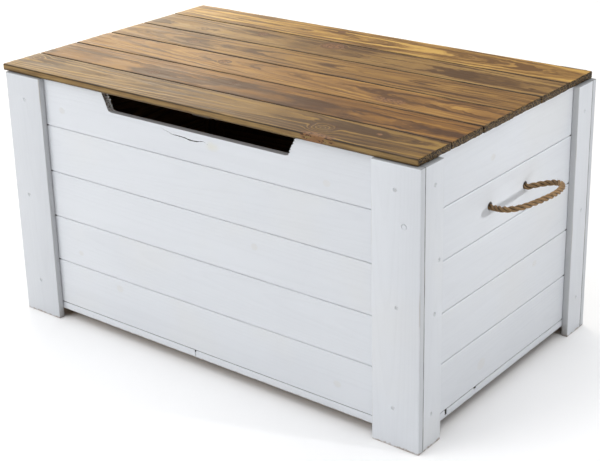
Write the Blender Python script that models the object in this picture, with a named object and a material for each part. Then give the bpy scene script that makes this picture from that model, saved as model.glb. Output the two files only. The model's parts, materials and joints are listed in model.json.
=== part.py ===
"""Storage bench: a painted pine chest with a plank lid hinged at the rear and a rope handle on each side.

Metres, +Z up. The front faces -Y and the length runs along X. The origin is on the floor, under the
middle of the whole bench measured without its rope handles.
"""

import math

import bmesh
import bpy
from mathutils import Vector

# Chest
CHEST_LENGTH = 0.900
CHEST_DEPTH = 0.550
POST_HEIGHT = 0.473
BOARD = 0.012  # thickness of the post boards, the cladding and the lid
FRONT_POST_WIDTH = 0.088
SIDE_POST_WIDTH = 0.050
POST_ARRIS = 0.0012
FIT = 0.0003  # gap between pieces that touch

# Tongue and groove cladding
BOARD_ROWS = 5
FOOT_CLEARANCE = 0.018
STRIP_HEIGHT = 0.014
SEAM = 0.0006
V_CHAMFER = 0.0013
TONGUE_THICKNESS = 0.0040
TONGUE_LENGTH = 0.0060
TONGUE_CLEARANCE = 0.0004
GROOVE_DEPTH = TONGUE_LENGTH + 0.0008

# Hand slot in the top front board
SLOT_LENGTH = 0.427
SLOT_OFF_CENTRE = -0.0025
SLOT_DEPTH = 0.035
SLOT_SLOPE = 0.0165  # how far each end slants inwards
SLOT_CORNER = 0.007
SLOT_CORNER_STEPS = 5

# Lid
PLANK_COUNT = 6
PLANK_GAP = 0.0022
LID_FRONT_SETBACK = 0.005
LID_LEFT_OVERHANG = 0.012
LID_RIGHT_SETBACK = 0.008
LID_ARRIS = 0.0018
BATTEN_WIDTH = 0.040
BATTEN_END_GAP = 0.006
BATTEN_INSET = 0.100  # inner face of a side to the middle of the nearest batten

# Inside
CORNER_BATTEN = 0.028
CORNER_BATTEN_DROP = 0.030
CLEAT = 0.020
FLOOR_THICKNESS = 0.009

# Hinges
HINGE_LENGTH = 0.050
LEAF_REACH = 0.0117  # pin axis to the far edge of a leaf
LEAF_THICKNESS = 0.0012
KNUCKLE_RADIUS = 0.0025
PIN_RADIUS = 0.0012
PIN_CLEARANCE = 0.00008
ROUND_SEGMENTS = 24

# Rope handles
ROPE_RADIUS = 0.005
HOLE_CLEARANCE = 0.0005
HOLE_SPACING = 0.1125
HANDLE_ROW = 4
HANDLE_TILT = math.radians(15)
KNOT_RADIUS = 0.0115
KNOT_LENGTH = 0.021
KNOT_STEPS = 7
KNOT_SEGMENTS = 16
ROPE_STEPS = 4  # tube points between two route points
BALL_TURNS = (80, 60, 40, 20)  # degrees from the tube's line, on the ball that ends it
# Loop of the handle: along the side from the front hole, and out from the hinge axis of the loop.
HANDLE_ROUTE = (
    (0.0, 0.0),
    (-0.003, 0.006),
    (-0.008, 0.016),
    (-0.012, 0.027),
    (-0.013, 0.039),
    (-0.009, 0.050),
    (0.002, 0.060),
    (0.018, 0.067),
    (0.037, 0.073),
    (0.058, 0.0775),
    (0.080, 0.0765),
    (0.100, 0.071),
    (0.117, 0.061),
    (0.127, 0.049),
    (0.130, 0.037),
    (0.1275, 0.025),
    (0.1225, 0.014),
    (0.1165, 0.006),
    (0.1125, 0.0),
)

# Places that follow from the sizes above
LEAF_FACE = FIT
AXIS_BEHIND = LEAF_FACE + KNUCKLE_RADIUS
REAR_REACH = AXIS_BEHIND + KNUCKLE_RADIUS
LEFT = -(CHEST_LENGTH - LID_LEFT_OVERHANG) / 2
RIGHT = LEFT + CHEST_LENGTH
FRONT = -(CHEST_DEPTH + REAR_REACH) / 2
REAR = FRONT + CHEST_DEPTH
MIDDLE_X = (LEFT + RIGHT) / 2
MIDDLE_Y = (FRONT + REAR) / 2
WALL_OUTER = BOARD + FIT
WALL_INNER = WALL_OUTER + BOARD
STRIP_TOP = FOOT_CLEARANCE + STRIP_HEIGHT
ROW_HEIGHT = (POST_HEIGHT - STRIP_TOP) / BOARD_ROWS
LID_BOTTOM = POST_HEIGHT + FIT
LID_TOP = LID_BOTTOM + BOARD
AXIS_HEIGHT = POST_HEIGHT + FIT / 2
HANDLE_HEIGHT = STRIP_TOP + (HANDLE_ROW - 0.5) * ROW_HEIGHT
HOLE_RADIUS = ROPE_RADIUS + HOLE_CLEARANCE


def clear_scene():
    for obj in list(bpy.data.objects):
        bpy.data.objects.remove(obj, do_unlink=True)


def make_material(name, colour, roughness, metallic=0.0):
    material = bpy.data.materials.new(name)
    material.use_nodes = True
    shader = material.node_tree.nodes["Principled BSDF"]
    shader.inputs["Base Color"].default_value = (*colour, 1.0)
    shader.inputs["Roughness"].default_value = roughness
    shader.inputs["Metallic"].default_value = metallic
    return material


def make_materials():
    return {
        "white_paint": make_material("white_paint", (0.73, 0.76, 0.80), 0.5),
        "stained_pine": make_material("stained_pine", (0.37, 0.21, 0.09), 0.45),
        "raw_pine": make_material("raw_pine", (0.58, 0.38, 0.19), 0.6),
        "plywood": make_material("plywood", (0.62, 0.45, 0.27), 0.65),
        "zinc_steel": make_material("zinc_steel", (0.62, 0.62, 0.60), 0.35, 1.0),
        "jute": make_material("jute", (0.36, 0.22, 0.10), 0.9),
    }


def add_mesh_object(name, bm, location, material):
    """Turn bm into a named object at location, with its faces pointing out."""
    bmesh.ops.recalc_face_normals(bm, faces=bm.faces)
    mesh = bpy.data.meshes.new(name)
    bm.to_mesh(mesh)
    bm.free()
    mesh.materials.append(material)
    obj = bpy.data.objects.new(name, mesh)
    obj.location = location
    bpy.context.scene.collection.objects.link(obj)
    return obj


def round_arrises(obj, width, segments=2):
    bevel = obj.modifiers.new("arris", "BEVEL")
    bevel.width = width
    bevel.segments = segments
    bevel.limit_method = "ANGLE"


def add_block(name, low, high, material, arris=0.0):
    """A squared piece of timber between two corners."""
    low, high = Vector(low), Vector(high)
    size = high - low
    bm = bmesh.new()
    bmesh.ops.create_cube(bm, size=1.0)
    bmesh.ops.scale(bm, vec=size, verts=bm.verts)
    obj = add_mesh_object(name, bm, (low + high) / 2, material)
    if arris:
        round_arrises(obj, arris)
    return obj


def extrude(corners, way):
    """A bmesh prism: the outline through corners, drawn out by way."""
    bm = bmesh.new()
    face = bm.faces.new([bm.verts.new(corner) for corner in corners])
    grown = bmesh.ops.extrude_face_region(bm, geom=[face])
    moved = [item for item in grown["geom"] if isinstance(item, bmesh.types.BMVert)]
    bmesh.ops.translate(bm, verts=moved, vec=way)
    return bm


def extrude_section(outline, length):
    """A bmesh prism along X, centred on the origin, whose section is (y, z) points."""
    return extrude([(-length / 2, y, z) for y, z in outline], (length, 0, 0))


def hide_helper(obj):
    obj.hide_render = True
    obj.display_type = "WIRE"


def cut(obj, cutter):
    hide_helper(cutter)
    boolean = obj.modifiers.new("cut", "BOOLEAN")
    boolean.operation = "DIFFERENCE"
    boolean.object = cutter


def add_cylinder(name, radius, length, segments, location, material):
    """A cylinder along X."""
    turns = [math.tau * step / segments for step in range(segments)]
    ring = [(radius * math.cos(turn), radius * math.sin(turn)) for turn in turns]
    return add_mesh_object(name, extrude_section(ring, length), location, material)


def smooth(obj, angle=40):
    obj.data.shade_smooth()
    obj.data.set_sharp_from_angle(angle=math.radians(angle))


# Corner posts


def add_posts(materials):
    """Each corner post is two boards: the front or rear one covers the edge of the side one."""
    paint = materials["white_paint"]
    for end, end_name in ((-1, "left"), (1, "right")):
        outer = LEFT if end < 0 else RIGHT
        across = sorted((outer, outer - end * FRONT_POST_WIDTH))
        thick = sorted((outer, outer - end * BOARD))
        for face, face_name in ((-1, "front"), (1, "rear")):
            skin = FRONT if face < 0 else REAR
            flat = sorted((skin, skin - face * BOARD))
            side_start = skin - face * (BOARD + FIT)
            side_end = skin - face * (BOARD + SIDE_POST_WIDTH)
            along = sorted((side_start, side_end))
            name = f"{face_name}_{end_name}_post"
            add_block(
                f"{name}_{face_name}_board",
                (across[0], flat[0], 0),
                (across[1], flat[1], POST_HEIGHT),
                paint,
                POST_ARRIS,
            )
            add_block(
                f"{name}_side_board",
                (thick[0], along[0], 0),
                (thick[1], along[1], POST_HEIGHT),
                paint,
                POST_ARRIS,
            )


# Cladding


def cladding_outline(height, groove, tongue, top_chamfer):
    """Section of one board: y runs from the outer face inwards, z from the shoulder below upwards."""
    near = (BOARD - TONGUE_THICKNESS) / 2
    far = near + TONGUE_THICKNESS
    outline = [(V_CHAMFER, 0), (0, V_CHAMFER)]
    if top_chamfer:
        outline += [(0, height - V_CHAMFER), (V_CHAMFER, height)]
    else:
        outline += [(0, height)]
    if tongue:
        crest = height + TONGUE_LENGTH
        outline += [(near, height), (near, crest), (far, crest), (far, height)]
    outline += [(BOARD, height), (BOARD, 0)]
    if groove:
        near -= TONGUE_CLEARANCE
        far += TONGUE_CLEARANCE
        outline += [(far, 0), (far, GROOVE_DEPTH), (near, GROOVE_DEPTH), (near, 0)]
    return outline


def add_cladding_board(name, outline, length, centre, bottom, turn, paint):
    bm = extrude_section(outline, length)
    board = add_mesh_object(name, bm, (centre[0], centre[1], bottom), paint)
    board.rotation_euler = (0, 0, turn)
    return board


def add_wall(wall, length, centre, turn, paint):
    """A bottom strip and BOARD_ROWS boards. centre is the middle of the wall's outer face."""
    outline = cladding_outline(STRIP_HEIGHT - SEAM, False, True, True)
    add_cladding_board(
        f"{wall}_bottom_strip", outline, length, centre, FOOT_CLEARANCE, turn, paint
    )
    boards = []
    for row in range(BOARD_ROWS):
        last = row == BOARD_ROWS - 1
        height = ROW_HEIGHT if last else ROW_HEIGHT - SEAM
        outline = cladding_outline(height, True, not last, not last)
        bottom = STRIP_TOP + row * ROW_HEIGHT
        name = f"{wall}_board_{row + 1}"
        boards.append(add_cladding_board(name, outline, length, centre, bottom, turn, paint))
    return boards


def slot_outline():
    """The hand slot seen from the front: x along the board, z up, rounded at its lower corners."""
    top = POST_HEIGHT + BOARD
    bottom = POST_HEIGHT - SLOT_DEPTH
    slope = SLOT_SLOPE / SLOT_DEPTH
    half_top = SLOT_LENGTH / 2 + slope * BOARD
    half_bottom = SLOT_LENGTH / 2 - SLOT_SLOPE
    lean = math.atan(slope)
    half_turn = (math.pi / 2 - lean) / 2
    reach = SLOT_CORNER * math.tan(half_turn)
    centre = Vector((half_bottom - reach, bottom + SLOT_CORNER))
    outline = [(half_top, top)]
    for step in range(SLOT_CORNER_STEPS + 1):
        turn = -lean - 2 * half_turn * step / SLOT_CORNER_STEPS
        outline.append(
            (centre.x + SLOT_CORNER * math.cos(turn), centre.y + SLOT_CORNER * math.sin(turn))
        )
    return outline + [(-x, z) for x, z in reversed(outline)]


def cut_hand_slot(board, paint):
    bm = extrude([(x, -BOARD, z) for x, z in slot_outline()], (0, 3 * BOARD, 0))
    place = (MIDDLE_X + SLOT_OFF_CENTRE, FRONT + WALL_OUTER, 0)
    cut(board, add_mesh_object("hand_slot_cutter", bm, place, paint))


def hole_places():
    return (MIDDLE_Y - HOLE_SPACING / 2, MIDDLE_Y + HOLE_SPACING / 2)


def cut_rope_holes(board, side, wall_x, paint):
    for number, y in enumerate(hole_places()):
        name = f"{side}_hole_cutter_{number + 1}"
        place = (wall_x, y, HANDLE_HEIGHT)
        cut(board, add_cylinder(name, HOLE_RADIUS, 4 * BOARD, ROUND_SEGMENTS, place, paint))


def add_walls(materials):
    paint = materials["white_paint"]
    long_length = CHEST_LENGTH - 2 * WALL_OUTER
    short_length = CHEST_DEPTH - 2 * (WALL_INNER + FIT)
    quarter = math.pi / 2
    front = add_wall("front", long_length, (MIDDLE_X, FRONT + WALL_OUTER), 0, paint)
    cut_hand_slot(front[-1], paint)
    add_wall("rear", long_length, (MIDDLE_X, REAR - WALL_OUTER), math.pi, paint)
    for side, face, turn in (
        ("left", LEFT + WALL_OUTER, -quarter),
        ("right", RIGHT - WALL_OUTER, quarter),
    ):
        boards = add_wall(f"{side}_side", short_length, (face, MIDDLE_Y), turn, paint)
        cut_rope_holes(boards[HANDLE_ROW - 1], side, face, paint)


# Floor and inner battens


def add_corner_battens(materials):
    inset = WALL_INNER + FIT
    top = POST_HEIGHT - CORNER_BATTEN_DROP
    for end, end_name in ((-1, "left"), (1, "right")):
        outer = (LEFT if end < 0 else RIGHT) - end * inset
        across = sorted((outer, outer - end * CORNER_BATTEN))
        for face, face_name in ((-1, "front"), (1, "rear")):
            skin = (FRONT if face < 0 else REAR) - face * inset
            deep = sorted((skin, skin - face * CORNER_BATTEN))
            add_block(
                f"corner_batten_{face_name}_{end_name}",
                (across[0], deep[0], FOOT_CLEARANCE),
                (across[1], deep[1], top),
                materials["raw_pine"],
            )


def add_floor(materials):
    """A plywood floor, notched round the corner battens, on a cleat along the front and the rear."""
    inset = WALL_INNER + FIT
    notch = CORNER_BATTEN + FIT
    half_x = CHEST_LENGTH / 2 - inset
    half_y = CHEST_DEPTH / 2 - inset
    top = FOOT_CLEARANCE + CLEAT
    for face, name in ((-1, "front"), (1, "rear")):
        outer = MIDDLE_Y + face * half_y
        deep = sorted((outer, outer - face * CLEAT))
        add_block(
            f"floor_cleat_{name}",
            (MIDDLE_X - half_x + notch, deep[0], FOOT_CLEARANCE),
            (MIDDLE_X + half_x - notch, deep[1], top),
            materials["raw_pine"],
        )
    corners = []
    for sx, sy in ((-1, -1), (1, -1), (1, 1), (-1, 1)):
        turn = [
            (sx * half_x, sy * (half_y - notch)),
            (sx * (half_x - notch), sy * (half_y - notch)),
            (sx * (half_x - notch), sy * half_y),
        ]
        corners += turn if sx == sy else turn[::-1]
    bm = extrude([(x, y, 0) for x, y in corners], (0, 0, FLOOR_THICKNESS))
    place = (MIDDLE_X, MIDDLE_Y, top + FIT)
    add_mesh_object("floor_panel", bm, place, materials["plywood"])


# Lid


def add_lid(materials):
    """Six planks on three cross battens, carried by an empty on the hinge axis."""
    pivot = bpy.data.objects.new("lid_hinge_axis", None)
    pivot.location = (MIDDLE_X, REAR + AXIS_BEHIND, AXIS_HEIGHT)
    bpy.context.scene.collection.objects.link(pivot)
    left = LEFT - LID_LEFT_OVERHANG
    right = RIGHT - LID_RIGHT_SETBACK
    front = FRONT + LID_FRONT_SETBACK
    width = (REAR - front - (PLANK_COUNT - 1) * PLANK_GAP) / PLANK_COUNT
    pieces = []
    for number in range(PLANK_COUNT):
        near = front + number * (width + PLANK_GAP)
        plank = add_block(
            f"lid_plank_{number + 1}",
            (left, near, LID_BOTTOM),
            (right, near + width, LID_TOP),
            materials["stained_pine"],
            LID_ARRIS,
        )
        pieces.append(plank)
    inner = WALL_INNER + BATTEN_INSET
    for name, x in (("left", LEFT + inner), ("middle", MIDDLE_X), ("right", RIGHT - inner)):
        batten = add_block(
            f"lid_batten_{name}",
            (x - BATTEN_WIDTH / 2, FRONT + WALL_INNER + BATTEN_END_GAP, POST_HEIGHT - BOARD),
            (x + BATTEN_WIDTH / 2, REAR - WALL_INNER - BATTEN_END_GAP, POST_HEIGHT),
            materials["stained_pine"],
        )
        pieces.append(batten)
    for side in ("left", "right"):
        pieces.append(bpy.data.objects[f"hinge_{side}_lid_leaf"])
    for piece in pieces:
        carry(piece, pivot)


def carry(piece, pivot):
    """Parent piece to pivot without moving it."""
    piece.location -= pivot.location
    piece.parent = pivot


# Hinges


def leaf_outline():
    """Leaf and knuckle in section: y away from the wood, z along the leaf, pin axis on z = 0."""
    meet = math.acos((KNUCKLE_RADIUS - LEAF_THICKNESS) / KNUCKLE_RADIUS)
    sweep = math.tau - meet
    outline = [(0, LEAF_REACH)]
    for step in range(ROUND_SEGMENTS + 1):
        turn = math.pi + sweep * step / ROUND_SEGMENTS
        outline.append(
            (KNUCKLE_RADIUS * (1 + math.cos(turn)), KNUCKLE_RADIUS * math.sin(turn))
        )
    return outline + [(LEAF_THICKNESS, LEAF_REACH)]


def add_leaf(name, x, gaps, upwards, steel):
    """One leaf. gaps are the stretches along it that the other leaf's knuckles take up."""
    way = 1 if upwards else -1
    outline = [(y, way * z) for y, z in leaf_outline()]
    place = Vector((x, REAR + LEAF_FACE, AXIS_HEIGHT))
    leaf = add_mesh_object(name, extrude_section(outline, HINGE_LENGTH), place, steel)
    reach = KNUCKLE_RADIUS + FIT
    for number, (start, end) in enumerate(gaps):
        cutter = add_block(
            f"{name}_gap_cutter_{number + 1}",
            place + Vector((start, -BOARD, -reach)),
            place + Vector((end, BOARD, reach)),
            steel,
        )
        cut(leaf, cutter)
    axis = place + Vector((0, KNUCKLE_RADIUS, 0))
    radius = PIN_RADIUS + PIN_CLEARANCE
    bore = add_cylinder(
        f"{name}_bore_cutter", radius, 2 * HINGE_LENGTH, ROUND_SEGMENTS, axis, steel
    )
    cut(leaf, bore)
    return leaf


def add_hinges(materials):
    """A butt hinge behind each rear post, opened flat against the post and the edge of the lid."""
    steel = materials["zinc_steel"]
    third = HINGE_LENGTH / 6
    over = HINGE_LENGTH
    for side, x in (
        ("left", LEFT + FRONT_POST_WIDTH / 2),
        ("right", RIGHT - FRONT_POST_WIDTH / 2),
    ):
        middle = [(-third - FIT / 2, third + FIT / 2)]
        ends = [(-over, -third + FIT / 2), (third - FIT / 2, over)]
        add_leaf(f"hinge_{side}_box_leaf", x, middle, False, steel)
        add_leaf(f"hinge_{side}_lid_leaf", x, ends, True, steel)
        place = (x, REAR + AXIS_BEHIND, AXIS_HEIGHT)
        pin = add_cylinder(
            f"hinge_{side}_pin", PIN_RADIUS, HINGE_LENGTH, ROUND_SEGMENTS, place, steel
        )
        smooth(pin)


# Rope handles


def catmull_rom(points, steps):
    """Points on a smooth curve through the given ones, steps to each span."""
    ends = [2 * points[0] - points[1], *points, 2 * points[-1] - points[-2]]
    found = []
    for before, here, there, after in zip(ends, ends[1:], ends[2:], ends[3:]):
        for step in range(steps):
            t = step / steps
            found.append(
                0.5
                * (
                    2 * here
                    + (there - before) * t
                    + (2 * before - 5 * here + 4 * there - after) * t**2
                    + (3 * here - before - 3 * there + after) * t**3
                )
            )
    return found + [points[-1]]


def ball_end(tip, inwards):
    """Points and relative radii that close a tube with a half ball centred on tip."""
    found = []
    for turn in BALL_TURNS:
        back = math.sin(math.radians(turn))
        found.append((tip - inwards * ROPE_RADIUS * back, math.cos(math.radians(turn))))
    return found


def add_loop(name, wall_x, side, rope):
    """The loop of a handle, as a tube with ball ends that turn in front of the two holes."""
    axis_x = wall_x + side * (ROPE_RADIUS + FIT)
    front_hole = hole_places()[0]
    pivot = bpy.data.objects.new(f"{name}_axis", None)
    pivot.location = (axis_x, front_hole, HANDLE_HEIGHT)
    bpy.context.scene.collection.objects.link(pivot)
    route = [Vector((side * out, along, 0)) for along, out in HANDLE_ROUTE]
    line = catmull_rom(route, ROPE_STEPS)
    first = (line[1] - line[0]).normalized()
    last = (line[-2] - line[-1]).normalized()
    points = ball_end(line[0], first)
    points += [(point, 1.0) for point in line]
    points += reversed(ball_end(line[-1], last))
    curve = bpy.data.curves.new(name, "CURVE")
    curve.dimensions = "3D"
    curve.bevel_depth = ROPE_RADIUS
    curve.bevel_resolution = 3
    curve.use_fill_caps = True
    curve.materials.append(rope)
    spline = curve.splines.new("POLY")
    spline.points.add(len(points) - 1)
    for point, (place, radius) in zip(spline.points, points):
        point.co = (*place, 1.0)
        point.radius = radius
    loop = bpy.data.objects.new(name, curve)
    bpy.context.scene.collection.objects.link(loop)
    loop.parent = pivot
    loop.rotation_euler = (0, -side * HANDLE_TILT, 0)


def knot_profile():
    """Half section of the rope in its hole and its knot: x outwards from the wall, and radius."""
    inner = -BOARD - FIT
    profile = [(0, 0), (0, ROPE_RADIUS), (inner, ROPE_RADIUS)]
    for step in range(1, KNOT_STEPS):
        turn = math.pi * step / KNOT_STEPS
        middle = inner - KNOT_LENGTH * (1 - math.cos(turn)) / 2
        profile.append((middle, KNOT_RADIUS * math.sin(turn) ** 0.5))
    return profile + [(inner - KNOT_LENGTH, 0)]


def add_knot(name, wall_x, side, y, rope):
    bm = bmesh.new()
    verts = [bm.verts.new((side * x, radius, 0)) for x, radius in knot_profile()]
    edges = [bm.edges.new(pair) for pair in zip(verts, verts[1:])]
    bmesh.ops.spin(
        bm,
        geom=verts + edges,
        axis=(1, 0, 0),
        cent=(0, 0, 0),
        angle=math.tau,
        steps=KNOT_SEGMENTS,
    )
    bmesh.ops.remove_doubles(bm, verts=bm.verts, dist=1e-6)
    knot = add_mesh_object(name, bm, (wall_x, y, HANDLE_HEIGHT), rope)
    smooth(knot)


def add_handles(materials):
    rope = materials["jute"]
    for side, side_name, wall_x in (
        (-1, "left", LEFT + WALL_OUTER),
        (1, "right", RIGHT - WALL_OUTER),
    ):
        add_loop(f"handle_{side_name}_rope", wall_x, side, rope)
        for y, end in zip(hole_places(), ("front", "rear")):
            add_knot(f"handle_{side_name}_{end}_knot", wall_x, side, y, rope)


def main():
    clear_scene()
    materials = make_materials()
    add_posts(materials)
    add_walls(materials)
    add_corner_battens(materials)
    add_floor(materials)
    add_hinges(materials)
    add_lid(materials)
    add_handles(materials)


main()
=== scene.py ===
"""Storage bench looks: painted pine chest, stained plank lid, rope handles and steel fittings.

Laid out as a Blender add-on and run as a script. Metres, +Z up, the front faces -Y.
"""

import json
import math
import random

import bmesh
import bpy
import numpy as np
from mathutils import Matrix, Vector

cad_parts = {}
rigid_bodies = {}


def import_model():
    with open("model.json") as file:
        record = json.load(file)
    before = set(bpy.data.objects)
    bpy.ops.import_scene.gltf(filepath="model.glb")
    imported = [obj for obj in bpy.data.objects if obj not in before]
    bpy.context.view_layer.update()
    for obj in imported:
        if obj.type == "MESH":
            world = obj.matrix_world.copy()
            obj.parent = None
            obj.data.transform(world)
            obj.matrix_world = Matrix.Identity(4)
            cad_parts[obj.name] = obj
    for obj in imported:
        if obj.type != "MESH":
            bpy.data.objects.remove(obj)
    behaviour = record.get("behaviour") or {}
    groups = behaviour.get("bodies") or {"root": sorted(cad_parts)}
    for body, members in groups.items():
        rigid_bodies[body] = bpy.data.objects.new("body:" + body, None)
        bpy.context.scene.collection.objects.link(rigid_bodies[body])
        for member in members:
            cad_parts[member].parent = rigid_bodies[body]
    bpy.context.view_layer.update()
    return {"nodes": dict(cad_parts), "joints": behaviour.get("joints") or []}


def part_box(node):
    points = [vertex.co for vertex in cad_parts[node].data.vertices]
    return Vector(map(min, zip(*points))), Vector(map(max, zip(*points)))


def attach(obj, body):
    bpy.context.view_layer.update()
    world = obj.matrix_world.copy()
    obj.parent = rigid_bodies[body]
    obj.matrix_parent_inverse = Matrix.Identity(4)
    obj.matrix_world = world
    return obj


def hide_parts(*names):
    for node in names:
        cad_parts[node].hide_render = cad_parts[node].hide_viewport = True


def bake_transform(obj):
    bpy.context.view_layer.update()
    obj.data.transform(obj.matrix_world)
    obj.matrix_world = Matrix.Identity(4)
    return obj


bl_info = {
    "name": "Storage bench looks",
    "version": (1, 0, 0),
    "blender": (4, 5, 0),
    "location": "View3D > Sidebar > Bench",
    "description": "Paint, lid boards, rope handles and fittings of a storage bench",
    "category": "Object",
}

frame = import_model()

NODES = frame["nodes"]

# Places read from the frame
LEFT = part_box("front_left_post_front_board")[0].x
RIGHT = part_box("front_right_post_front_board")[1].x
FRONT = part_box("front_right_post_front_board")[0].y
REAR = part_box("rear_right_post_rear_board")[1].y
POST_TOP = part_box("front_right_post_front_board")[1].z
STRIP_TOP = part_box("front_board_1")[0].z
ROW_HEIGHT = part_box("front_board_2")[0].z - STRIP_TOP
SIDES = (("left", -1), ("right", 1))
# How far the ends of the wall boards run behind the posts, by the way that the boards run
POST_LAPS = {
    "X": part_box("front_left_post_front_board")[1].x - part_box("front_board_1")[0].x,
    "Y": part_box("front_right_post_side_board")[1].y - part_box("right_side_board_1")[0].y,
}


# ---------------------------------------------------------------- settings


def colour_setting(name, description, default):
    return bpy.props.FloatVectorProperty(
        name=name,
        description=description,
        default=default,
        subtype="COLOR",
        size=3,
        min=0,
        max=1,
    )


def length_setting(name, description, default):
    return bpy.props.FloatProperty(
        name=name, description=description, default=default, unit="LENGTH", min=0
    )


def share_setting(name, description, default):
    return bpy.props.FloatProperty(
        name=name, description=description, default=default, subtype="FACTOR", min=0, max=1
    )


class BenchPaint(bpy.types.PropertyGroup):
    colour: colour_setting("Paint", "Colour of the white paint", (0.690, 0.715, 0.752))
    thin: colour_setting("Thin paint", "Paint where it lies thin", (0.600, 0.622, 0.662))
    end_grain: colour_setting("End grain", "Paint soaked into sawn ends", (0.30, 0.31, 0.32))
    worn: colour_setting("Worn wood", "Bare wood where the paint is rubbed off", (0.26, 0.17, 0.10))
    raw: colour_setting("Raw pine", "Unpainted pine inside the chest", (0.56, 0.37, 0.20))
    roughness: share_setting("Roughness", "Roughness of the paint", 0.5)
    grain_depth: length_setting("Grain depth", "Relief of the grain through the paint", 0.00028)


class BenchLid(bpy.types.PropertyGroup):
    arris: length_setting("Arris", "Rounding of the plank edges", 0.0018)
    wander: length_setting("Wander", "Unevenness of the planks' faces and edges", 0.0007)
    roughness: share_setting("Roughness", "Roughness of the stained wood", 0.46)
    grain_depth: length_setting("Grain depth", "Relief of the growth rings", 0.00035)


class BenchRope(bpy.types.PropertyGroup):
    diameter: length_setting("Diameter", "Thickness of the rope", 0.010)
    lay: length_setting("Lay", "Length in which a strand goes round once", 0.036)
    colour: colour_setting("Jute", "Colour of the rope", (0.395, 0.240, 0.108))
    shade: colour_setting("Shade", "Colour between the yarns", (0.085, 0.047, 0.020))
    fibres: bpy.props.IntProperty(
        name="Fibres", description="Loose fibres on each handle", default=340, min=0
    )


class BenchFittings(bpy.types.PropertyGroup):
    head: length_setting("Screw head", "Diameter of the screw heads in the posts", 0.0074)
    sink: length_setting("Sink", "Depth of the screw heads below the paint", 0.0012)
    zinc: colour_setting("Zinc", "Colour of the hinges and screws", (0.60, 0.61, 0.62))


class BenchStage(bpy.types.PropertyGroup):
    floor: colour_setting("Floor", "Colour of the studio floor", (0.93, 0.93, 0.935))
    sky: bpy.props.FloatProperty(
        name="Room light", description="Strength of the light all round", default=0.11, min=0
    )
    key: bpy.props.FloatProperty(
        name="Key light", description="Power of the large front light", default=66, unit="POWER"
    )
    side: bpy.props.FloatProperty(
        name="Side light", description="Power of the small right light", default=1.15, unit="POWER"
    )
    top: bpy.props.FloatProperty(
        name="Top light", description="Power of the light overhead", default=249, unit="POWER"
    )
    sheen: bpy.props.FloatProperty(
        name="Rear light", description="Power of the light that glances off the lid", default=40,
        unit="POWER",
    )


# ---------------------------------------------------------------- finishes


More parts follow.
